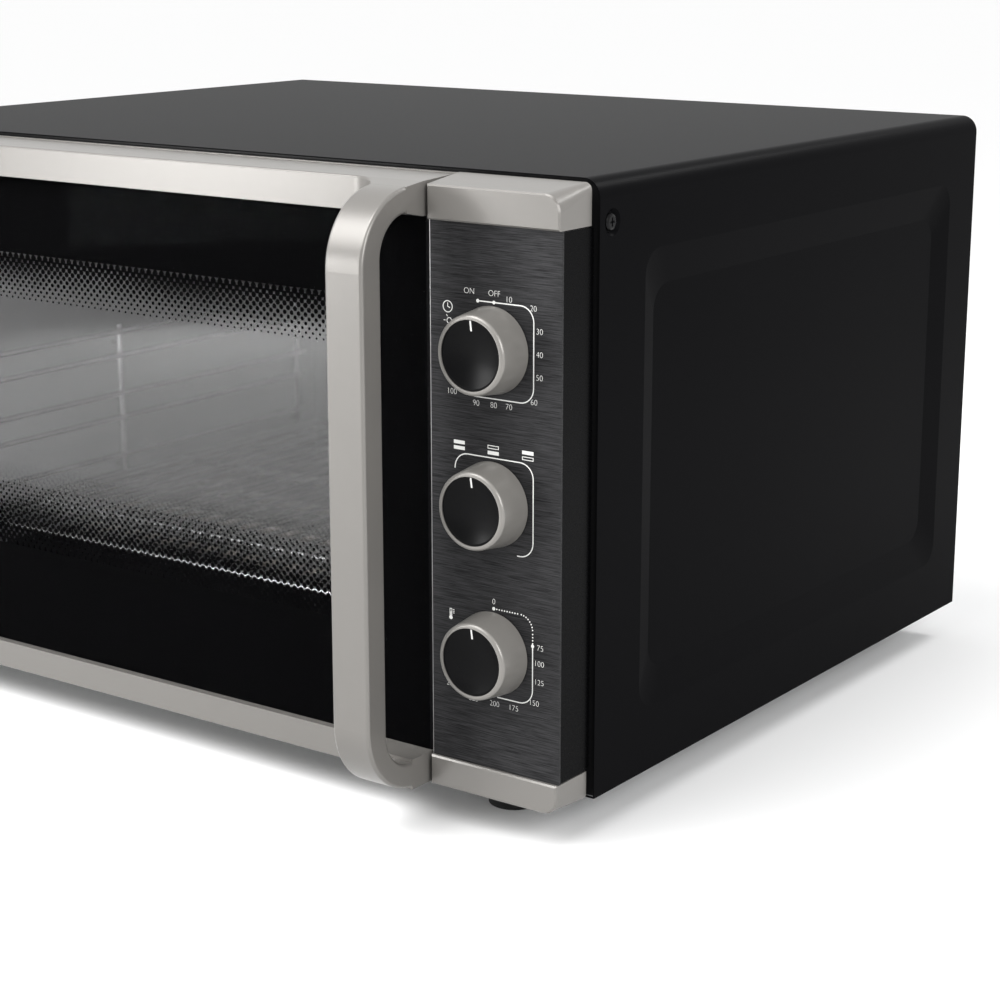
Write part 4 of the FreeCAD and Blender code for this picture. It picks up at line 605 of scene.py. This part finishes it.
def dot_tree():
    """Staggered dots that grow from a clear window outwards until they run together."""
    counts = ("Columns", "Rows")
    lengths = ("Pitch", "Left", "Right", "Low", "High", "Left_band", "Right_band", "Low_band",
               "High_band", "Smallest", "Largest", "Film", "Middle_x", "Middle_z", "Depth")
    inputs = {name: ("Float", 0.0) for name in lengths}
    inputs.update({name: ("Int", 2) for name in counts})
    tree = GeometryTree("window_dots", **inputs, Finish=("Material", None))
    given = tree.given
    pitch = given("Pitch")
    sides = [tree.sum("MULTIPLY", tree.sum("SUBTRACT", given(name), 1.0), pitch)
             for name in counts]
    grid = tree.add("MeshGrid", Size_X=sides[0], Size_Y=sides[1], Vertices_X=given("Columns"),
                    Vertices_Y=given("Rows")).outputs["Mesh"]
    half = tree.sum("MULTIPLY", pitch, 0.5)
    moved = tree.add("Transform", Geometry=grid, Translation=tree.vector(half, half, 0.0))
    both = tree.add("JoinGeometry")
    for part in (grid, moved.outputs[0]):
        tree.tree.links.new(part, both.inputs[0])
    place = tree.vector(given("Middle_x"), given("Middle_z"), 0.0)
    placed = tree.add("Transform", Geometry=both.outputs[0], Translation=place)
    here = tree.add("InputPosition").outputs["Position"]
    apart = add_node(tree.tree, "ShaderNodeSeparateXYZ", Vector=here)
    x, z = apart.outputs["X"], apart.outputs["Y"]
    shares = [
        tree.sum("DIVIDE", tree.sum("SUBTRACT", given("Left"), x), given("Left_band")),
        tree.sum("DIVIDE", tree.sum("SUBTRACT", x, given("Right")), given("Right_band")),
        tree.sum("DIVIDE", tree.sum("SUBTRACT", given("Low"), z), given("Low_band")),
        tree.sum("DIVIDE", tree.sum("SUBTRACT", z, given("High")), given("High_band")),
    ]
    out = tree.sum("MAXIMUM", tree.sum("MAXIMUM", *shares[:2]), tree.sum("MAXIMUM", *shares[2:]))
    inside = tree.sum("MULTIPLY", tree.sum("GREATER_THAN", out, 0.0),
                      tree.sum("LESS_THAN", out, 1.0))
    grown = tree.sum("MULTIPLY", tree.sum("SUBTRACT", given("Largest"), given("Smallest")), out)
    radius = tree.sum("ADD", given("Smallest"), grown)
    dot = tree.add("MeshCylinder", Vertices=8, Radius=1.0, Depth=given("Film"))
    row = tree.add("InstanceOnPoints", Points=placed.outputs[0], Selection=inside,
                   Instance=dot.outputs["Mesh"], Scale=tree.vector(radius, radius, 1.0))
    upright = tree.add("Transform", Geometry=row.outputs[0],
                       Translation=tree.vector(0.0, given("Depth"), 0.0),
                       Rotation=(math.radians(90), 0.0, 0.0))
    tree.close(upright.outputs[0])
    return tree


class OVEN_OT_finishes(bpy.types.Operator):
    """Give every part of the oven its finish"""

    bl_idname = "oven.finishes"
    bl_label = "Finishes"

    def execute(self, context):
        make_groups()
        make_materials(context.scene.oven_colours)
        dress_nodes()
        return {"FINISHED"}


class OVEN_OT_window_print(bpy.types.Operator):
    """Print the black border and the growing dots behind the door glass"""

    bl_idname = "oven.window_print"
    bl_label = "Window Print"

    def execute(self, context):
        sizes = context.scene.oven_window
        lowest, highest = node_box("door_glass")
        depth = highest.y + sizes.film
        border = border_mesh(sizes, lowest, highest, depth)
        add_piece("window_border", border, "window_print", "door", "printed_glass")
        add_piece("window_dots", dots_mesh(sizes, depth), "window_print", "door", "printed_glass")
        return {"FINISHED"}


def border_mesh(sizes, lowest, highest, depth):
    """The solid black frame of print from the glass's edges to the dots."""
    work = bmesh.new()
    y0, y1 = depth - sizes.film / 2, depth + sizes.film / 2
    outer = rectangle(lowest.x, lowest.z, highest.x, highest.z)
    inner = rectangle(sizes.dots_left, sizes.dots_low, sizes.dots_right, sizes.dots_high)
    for i in range(4):
        j = (i + 1) % 4
        rings = [[work.verts.new((x, y, z)) for x, z in (outer[i], outer[j], inner[j], inner[i])]
                 for y in (y0, y1)]
        work.faces.new(rings[0])
        work.faces.new(rings[1][::-1])
        for a, b in ((0, 1), (2, 3)):
            work.faces.new((rings[0][a], rings[1][a], rings[1][b], rings[0][b]))
    bmesh.ops.remove_doubles(work, verts=work.verts, dist=SAME_PLACE)
    return mesh_from(work, "window_border")


def dots_mesh(sizes, depth):
    """The dots between the border and the clear window."""
    wide, tall = sizes.dots_right - sizes.dots_left, sizes.dots_high - sizes.dots_low
    return run_tree(
        dot_tree(), bpy.data.meshes.new("dot_base"), Columns=int(wide / sizes.pitch) + 2,
        Rows=int(tall / sizes.pitch) + 2, Pitch=sizes.pitch, Left=sizes.clear_left,
        Right=sizes.clear_right, Low=sizes.clear_low, High=sizes.clear_high,
        Left_band=sizes.clear_left - sizes.dots_left,
        Right_band=sizes.dots_right - sizes.clear_right,
        Low_band=sizes.clear_low - sizes.dots_low, High_band=sizes.dots_high - sizes.clear_high,
        Smallest=sizes.smallest, Largest=sizes.largest, Film=sizes.film,
        Middle_x=(sizes.dots_left + sizes.dots_right) / 2,
        Middle_z=(sizes.dots_low + sizes.dots_high) / 2, Depth=depth,
        Finish=MATERIALS["window_print"],
    )


def dial_middle(dial):
    """Middle of a dial on the plate, as x and z."""
    lowest, highest = node_box(dial + "_knob")
    return (lowest.x + highest.x) / 2, (lowest.z + highest.z) / 2


class Print:
    """A print on the control plate, with places given in millimetres from a dial's middle."""

    def __init__(self, dial, sizes):
        self.work = bmesh.new()
        self.middle = dial_middle(dial)
        self.sizes = sizes
        self.back = node_box("control_plate")[0].y
        self.front = self.back - sizes.film

    def at(self, x, z):
        """A place on the plate in metres."""
        return self.middle[0] + self.sizes.aside + x * MM, self.middle[1] - self.sizes.drop + z * MM

    def line(self, points, width=None, closed=False):
        """Print a line."""
        places = [self.at(x, z) for x, z in points]
        add_line(self.work, places, width or self.sizes.line, self.front, self.back, closed)

    def disc(self, x, z, radius):
        """Print a filled dot, a little thicker than the lines so that it covers their ends."""
        points = [self.at(*p) for p in circle((x, z), radius)]
        add_prism(self.work, points, self.front - self.sizes.film / 2, self.back)

    def bar(self, x, z, wide, tall, filled):
        """Print a bar round a middle, filled or as an outline."""
        corners = rectangle(x - wide / 2, z - tall / 2, x + wide / 2, z + tall / 2)
        if filled:
            add_prism(self.work, [self.at(*c) for c in corners], self.front, self.back)
        else:
            self.line(corners, THIN_LINE, True)

    def text(self, words, x, z, height=None):
        """Print a word or number."""
        add_text(self.work, words, height or self.sizes.digit, self.at(x, z), self.front, self.back)

    def done(self, name):
        """Turn the print into a piece on the plate."""
        add_piece(name, mesh_from(self.work, name), "scale_print", "oven", "dark_brushed_plate")


def timer_scale(sizes):
    """Minutes round the timer: a line from ON and OFF clockwise to the last number."""
    ink = Print("timer", sizes)
    side, turn = sizes.half / MM, sizes.corner / MM
    right = side - turn
    path = [(-9.8, side)] + arc((right, right), turn, 90, 0) + arc((right, -right), turn, 0, -90)
    ink.line(path + [(-12.3, -side)])
    for x in (-9.8, 0.2):
        ink.disc(x, side, DOT_RADIUS)
    numbers = {"10": (9.7, 27.0), "20": (24.3, 23.9), "30": (28.1, 12.7), "40": (28.1, 1.1),
               "50": (28.1, -10.6), "60": (24.9, -23.3), "70": (9.5, -27.6), "80": (0.0, -27.8),
               "90": (-11.0, -27.9), "100": (-26.0, -23.6)}
    for words, (x, z) in numbers.items():
        ink.text(words, x, z)
    ink.text("ON", -15.3, 29.2)
    ink.text("OFF", 0.45, 29.2)
    clock_icon(ink, -28.8, 19.9)
    bulb_icon(ink, -28.8, 12.7)
    ink.done("timer_scale")


def clock_icon(ink, x, z):
    """A small clock face."""
    ink.line(circle((x, z), 2.9), BOLD_LINE, True)
    ink.line([(x, z + 1.9), (x, z), (x + 1.5, z - 0.6)], ICON_LINE)


def bulb_icon(ink, x, z):
    """A small lamp with rays."""
    middle = (x + 1.0, z)
    ink.line(arc(middle, 1.5, 0, 345, 15), ICON_LINE, True)
    for angle in (120, 180, 240):
        ink.line([arc(middle, radius, angle, angle, 1)[0] for radius in (2.4, 3.6)], THIN_LINE)


def mode_scale(sizes):
    """The three heating modes: upper and lower bars, filled where that element is on."""
    ink = Print("mode", sizes)
    side, turn = sizes.half / MM, sizes.corner / MM
    inner = side - turn
    path = [(-side, 16.2)] + arc((-inner, inner), turn, 180, 90) + arc((inner, inner), turn, 90, 0)
    path += arc((inner, -inner), turn, 0, -90) + [(14.7, -side)]
    ink.line(path)
    filled_size, open_size = (7.0, 1.9), (6.6, 1.5)
    for x, upper, lower in ((-21.8, True, True), (-0.3, False, True), (21.2, True, False)):
        for z, filled in ((30.2, upper), (27.2, lower)):
            ink.bar(x, z, *(filled_size if filled else open_size), filled)
    ink.done("mode_scale")


def thermostat_scale(sizes):
    """Degrees round the thermostat: a dotted start, then a line to the last number."""
    ink = Print("thermostat", sizes)
    side, turn = sizes.half / MM, sizes.corner / MM
    inner = side - turn
    rise = 1.3
    first_line = 8.9
    path = [(side, first_line)] + arc((inner, rise - inner), turn, 0, -90) + [(2.2, rise - side)]
    ink.line(path)
    ink.disc(0.0, side, DOT_RADIUS)
    ink.disc(side, first_line, DOT_RADIUS)
    step = 1.65
    dotted = [(1.9 + step * i, side) for i in range(9)]
    dotted += arc((inner, inner), turn, 84, 6, 7)
    dotted += [(side, 15.2 - step * i) for i in range(4)]
    for x, z in dotted:
        ink.disc(x, z, SMALL_DOT_RADIUS)
    numbers = {"0": (0.0, 28.5), "75": (29.3, 8.6), "100": (29.0, 0.1), "125": (29.0, -10.0),
               "150": (25.9, -21.7), "175": (12.9, -27.1), "200": (0.4, -27.2),
               "225": (-13.3, -27.0), "250": (-27.8, -21.5)}
    for words, (x, z) in numbers.items():
        ink.text(words, x, z)
    thermometer_icon(ink, -27.8, 17.2)
    ink.done("thermostat_scale")


def thermometer_icon(ink, x, z):
    """A small thermometer."""
    ink.disc(x, z - 2.2, 1.1)
    ink.line([(x - 0.6, z - 1.2), (x - 0.6, z + 2.6), (x + 0.6, z + 2.6), (x + 0.6, z - 1.2)],
             FINE_LINE)
    ink.line([(x, z - 2.0), (x, z + 1.0)], BOLD_LINE)
    for rise in (0.4, 1.3, 2.2):
        ink.line([(x + 1.3, z + rise), (x + 2.3, z + rise)], FINE_LINE)


def plate_edge(sizes):
    """A bright strip down the left side of the plate: a painted highlight where its edge catches
    the light.
    """
    lowest, highest = node_box("control_plate")
    corners = rectangle(lowest.x, lowest.z, lowest.x + sizes.edge, highest.z)
    work = bmesh.new()
    add_prism(work, corners, lowest.y - sizes.film, lowest.y)
    add_piece("plate_edge", mesh_from(work, "plate_edge"), "cut_edge", "oven", "dark_brushed_plate")


class OVEN_OT_scales(bpy.types.Operator):
    """Print the scales of the three dials on the control plate and paint a highlight down its left
    edge
    """

    bl_idname = "oven.scales"
    bl_label = "Dial Scales"

    def execute(self, context):
        sizes = context.scene.oven_scales
        timer_scale(sizes)
        mode_scale(sizes)
        thermostat_scale(sizes)
        plate_edge(sizes)
        return {"FINISHED"}


def islands(node):
    """The separate solids of a node, each as the list of its corners."""
    work = bmesh.new()
    work.from_mesh(node.data)
    bmesh.ops.remove_doubles(work, verts=work.verts, dist=SAME_PLACE)
    reached = set()
    groups = []
    for first in work.verts:
        if first in reached:
            continue
        reached.add(first)
        stack = [first]
        group = []
        while stack:
            vert = stack.pop()
            group.append(vert.co.copy())
            for other in [edge.other_vert(vert) for edge in vert.link_edges]:
                if other not in reached:
                    reached.add(other)
                    stack.append(other)
        groups.append(group)
    work.free()
    return groups


def box_of(points):
    """Lowest and highest corner of a list of points."""
    return (Vector([min(p[i] for p in points) for i in range(3)]),
            Vector([max(p[i] for p in points) for i in range(3)]))


class OVEN_OT_index_lines(bpy.types.Operator):
    """Print the white line on each knob's disc"""

    bl_idname = "oven.index_lines"
    bl_label = "Index Lines"

    def execute(self, context):
        sizes = context.scene.oven_scales
        for dial in DIALS:
            mesh = index_mesh(dial, sizes)
            add_piece(dial + "_index", mesh, "scale_print", dial + "_dial", "black_gloss_plastic")
        return {"FINISHED"}


def index_mesh(dial, sizes):
    """A line of film that lies on the disc and follows its dish."""
    node = frame["nodes"][dial + "_knob_disc"]
    lowest, highest = node_box(dial + "_knob_disc")
    x, z = (lowest.x + highest.x) / 2, (lowest.z + highest.z) / 2
    corners = sorted({(round(math.hypot(v.co.x - x, v.co.z - z), 5), round(v.co.y, 6))
                      for v in node.data.vertices})
    face = lowest.y
    nearly_flat = 0.01 * MM
    deepest = max(y for r, y in corners if r < 0.9 * sizes.index_high and y < highest.y - MM)
    dish = max(r for r, y in corners if face + nearly_flat < y < highest.y - MM)
    depth = deepest - face
    ball = (dish * dish + depth * depth) / (2 * depth)
    work = bmesh.new()
    steps = 8
    rows = []
    for i in range(steps + 1):
        radius = sizes.index_low + (sizes.index_high - sizes.index_low) * i / steps
        sunk = max(0.0, depth - ball + math.sqrt(ball * ball - radius * radius))
        rows.append([work.verts.new((x + side * sizes.index_width / 2, face + sunk + y, z + radius))
                     for side in (-1, 1) for y in (-sizes.film, sizes.film)])
    add_strip(work, rows)
    return mesh_from(work, dial + "_index")


def screw_mesh(head, height, shank, length):
    """A round-headed screw with a cross recess, its head upwards and its crown at the origin."""
    work = bmesh.new()
    around = 32
    arm, half = head * 0.52, head * 0.13
    cross = [(half, arm), (-half, arm), (-half, half), (-arm, half), (-arm, -half), (-half, -half),
             (-half, -arm), (half, -arm), (half, -half), (arm, -half), (arm, half), (half, half)]
    levels = [(shank, -length), (shank, -height), (head, -height), (head, -height * 0.45),
              (head * 0.9, -height * 0.15), (head * 0.72, 0.0)]
    rings = [[work.verts.new((r * math.cos(2 * math.pi * i / around),
                              r * math.sin(2 * math.pi * i / around), z)) for i in range(around)]
             for r, z in levels]
    for low, high in zip(rings, rings[1:]):
        for i in range(around):
            j = (i + 1) % around
            work.faces.new((low[i], low[j], high[j], high[i]))
    work.faces.new(rings[0][::-1])
    rim = [work.verts.new((x, y, 0.0)) for x, y in cross]
    floor = [work.verts.new((x * 0.8, y * 0.8, -height * 0.6)) for x, y in cross]
    edges = [work.edges.get((rings[-1][i], rings[-1][(i + 1) % around])) for i in range(around)]
    edges += [work.edges.new((rim[i], rim[(i + 1) % len(rim)])) for i in range(len(rim))]
    bmesh.ops.triangle_fill(work, edges=edges, use_beauty=True)
    for i in range(len(rim)):
        j = (i + 1) % len(rim)
        work.faces.new((rim[i], rim[j], floor[j], floor[i]))
    work.faces.new(floor)
    return mesh_from(work, "screw")


def screw_tree():
    """One screw set on every point, its head towards the point's outward direction."""
    tree = GeometryTree("screws", Screw=("Object", None), Finish=("Material", None))
    info = tree.add("ObjectInfo", Object=tree.given("Screw"))
    outward = tree.add("InputNamedAttribute", Name="outward")
    outward.data_type = "FLOAT_VECTOR"
    turned = add_node(tree.tree, "FunctionNodeAlignRotationToVector",
                      Vector=outward.outputs["Attribute"])
    turned.axis = "Z"
    points = tree.add("InstanceOnPoints", Points=tree.given("Geometry"),
                      Instance=info.outputs["Geometry"], Rotation=turned.outputs["Rotation"])
    tree.close(points.outputs[0])
    return tree


def set_screws(tree, node_name, outward_of, finish_name):
    """Replace the plain screws of a node by screws with a cross recess."""
    boxes = [box_of(points) for points in islands(frame["nodes"][node_name])]
    directions = [Vector(outward_of(low)) for low, high in boxes]
    axis = [abs(value) for value in directions[0]].index(1.0)
    low, high = boxes[0]
    head = (high - low)[(axis + 1) % 3] / 2
    length = (high - low)[axis]
    screw = bpy.data.objects.new("screw", screw_mesh(head, head * 0.45, head * 0.43, length))
    bpy.context.scene.collection.objects.link(screw)
    base = bpy.data.meshes.new("screw_places")
    crowns = []
    for (low, high), way in zip(boxes, directions):
        middle = (low + high) / 2
        crowns.append([high[i] if way[i] > 0 else low[i] if way[i] < 0 else middle[i]
                       for i in range(3)])
    base.from_pydata(crowns, [], [])
    marks = base.attributes.new("outward", "FLOAT_VECTOR", "POINT")
    for item, way in zip(marks.data, directions):
        item.vector = way
    mesh = run_tree(tree, base, Screw=screw, Finish=MATERIALS[finish_name])
    bpy.data.objects.remove(screw)
    add_piece(node_name + "_crossed", mesh, finish_name, "oven", finish_name, node_name)


class OVEN_OT_screws(bpy.types.Operator):
    """Set screws with a cross recess in the sides, the rear and the feet"""

    bl_idname = "oven.screws"
    bl_label = "Screws"

    def execute(self, context):
        tree = screw_tree()
        set_screws(tree, "side_screws", lambda low: (1 if low.x > 0 else -1, 0, 0), "black_screw")
        set_screws(tree, "rear_screws", lambda low: (0, 1, 0), "plated_steel")
        set_screws(tree, "foot_screws", lambda low: (0, 0, -1), "plated_steel")
        return {"FINISHED"}


class OVEN_OT_stage(bpy.types.Operator):
    """Set up the floor, the lamps and the camera"""

    bl_idname = "oven.stage"
    bl_label = "Stage"

    def execute(self, context):
        stage = context.scene.oven_stage
        add_floor(context, stage)
        add_world(context, stage)
        add_lamps(stage)
        add_camera(context, stage)
        context.scene.view_settings.view_transform = "Standard"
        return {"FINISHED"}


def add_floor(context, stage):
    """A plain pale floor."""
    work = bmesh.new()
    half = stage.floor_side / 2
    work.faces.new([work.verts.new((x, y, 0.0)) for x, y in rectangle(-half, -half, half, half)])
    mesh = bpy.data.meshes.new("floor")
    work.to_mesh(mesh)
    work.free()
    floor = bpy.data.objects.new("floor", mesh)
    context.scene.collection.objects.link(floor)
    pale = context.scene.oven_colours.floor
    shader = Shader("floor").fix(Roughness=0.9)
    blend = add_blend(shader.tree, ray_share(shader.tree, *SEEN_RAYS),
                      shade(pale, stage.bounce), shade(pale, 1.0))
    mesh.materials.append(shader.link(blend, "Base Color").material)


def add_world(context, stage):
    """Even light, white where it is seen directly, mirrored or through glass."""
    world = bpy.data.worlds.new("studio")
    context.scene.world = world
    world.use_nodes = True
    tree = world.node_tree
    back = tree.nodes["Background"]
    back.inputs["Color"].default_value = (1.0, 1.0, 1.0, 1.0)
    level = add_node(tree, "ShaderNodeMapRange", Value=ray_share(tree, *SEEN_RAYS),
                     To_Min=stage.fill)
    tree.links.new(level.outputs["Result"], back.inputs["Strength"])


def place_lamp(data, place, target):
    """Put a lamp at a place, facing a target."""
    lamp = bpy.data.objects.new(data.name, data)
    lamp.location = place
    lamp.rotation_euler = (Vector(target) - Vector(place)).to_track_quat("-Z", "Y").to_euler()
    bpy.context.scene.collection.objects.link(lamp)


def add_lamps(stage):
    """A wide soft sun, a softbox above the door, a panel at each side and a strip behind."""
    sun = bpy.data.lights.new("sun", "SUN")
    sun.energy = stage.sun
    sun.angle = math.radians(45)
    place_lamp(sun, (-1.2, -2.0, 3.0), (0.0, 0.0, 0.15))
    dials = Vector((dial_middle("mode")[0], node_box("mode_knob")[0].y, dial_middle("mode")[1]))
    edge = Vector((CAD_BOX[1][0], CAD_BOX[0][1] / 2, CAD_BOX[1][2]))
    add_panel("softbox", stage.softbox, (0.7, 1.2), (-0.55, -0.9, 1.25), (0.2, -0.22, 0.3))
    add_panel("side_light", stage.side_light, (0.38, 0.45), dials + Vector((-1.15, -1.05, 0.14)),
              dials)
    add_panel("right_light", stage.right_light, (1.0, 1.0), (1.7, -0.8, 0.9), (0.25, -0.2, 0.2))
    add_panel("edge_light", stage.edge_light, (0.6, 0.25), edge + Vector((0.38, 1.18, 0.85)),
              edge)


def add_panel(name, power, size, place, target):
    """Add a flat rectangular lamp that faces a target."""
    data = bpy.data.lights.new(name, "AREA")
    data.shape = "RECTANGLE"
    data.energy = power
    data.size, data.size_y = size
    place_lamp(data, place, target)


def add_camera(context, stage):
    """The camera at the photograph's angle."""
    data = bpy.data.cameras.new("camera")
    data.lens = stage.lens
    data.sensor_width = CAMERA_SENSOR_MM
    data.clip_end = 200.0
    camera = bpy.data.objects.new("camera", data)
    camera.location = stage.camera_place
    camera.rotation_euler = stage.camera_turn
    context.scene.collection.objects.link(camera)
    context.scene.camera = camera


class OVEN_PT_panel(bpy.types.Panel):
    """Shows the oven's steps and settings in the sidebar"""

    bl_idname = "OVEN_PT_panel"
    bl_label = "Countertop Oven"
    bl_space_type = "VIEW_3D"
    bl_region_type = "UI"
    bl_category = "Oven"

    def draw(self, context):
        for operator in OPERATORS:
            self.layout.operator(operator.bl_idname)
        for group in SETTINGS:
            settings = getattr(context.scene, group)
            for name in settings.bl_rna.properties.keys():
                if name not in ("rna_type", "name"):
                    self.layout.prop(settings, name)


SETTINGS = {
    "oven_colours": OvenColours,
    "oven_window": OvenWindow,
    "oven_scales": OvenScales,
    "oven_stage": OvenStage,
}
OPERATORS = (OVEN_OT_finishes, OVEN_OT_window_print, OVEN_OT_scales, OVEN_OT_index_lines,
             OVEN_OT_screws, OVEN_OT_stage)


def register():
    """Make the settings, operators and panel known."""
    for name, group in SETTINGS.items():
        bpy.utils.register_class(group)
        setattr(bpy.types.Scene, name, PointerProperty(type=group))
    for item in (*OPERATORS, OVEN_PT_panel):
        bpy.utils.register_class(item)


def unregister():
    """Take the settings, operators and panel away again."""
    for item in (OVEN_PT_panel, *reversed(OPERATORS)):
        bpy.utils.unregister_class(item)
    for name, group in SETTINGS.items():
        delattr(bpy.types.Scene, name)
        bpy.utils.unregister_class(group)


def main():
    """Dress the oven and set up its stage."""
    register()
    for operator in OPERATORS:
        group, name = operator.bl_idname.split(".")
        getattr(getattr(bpy.ops, group), name)()


if __name__ == "__main__":
    main()
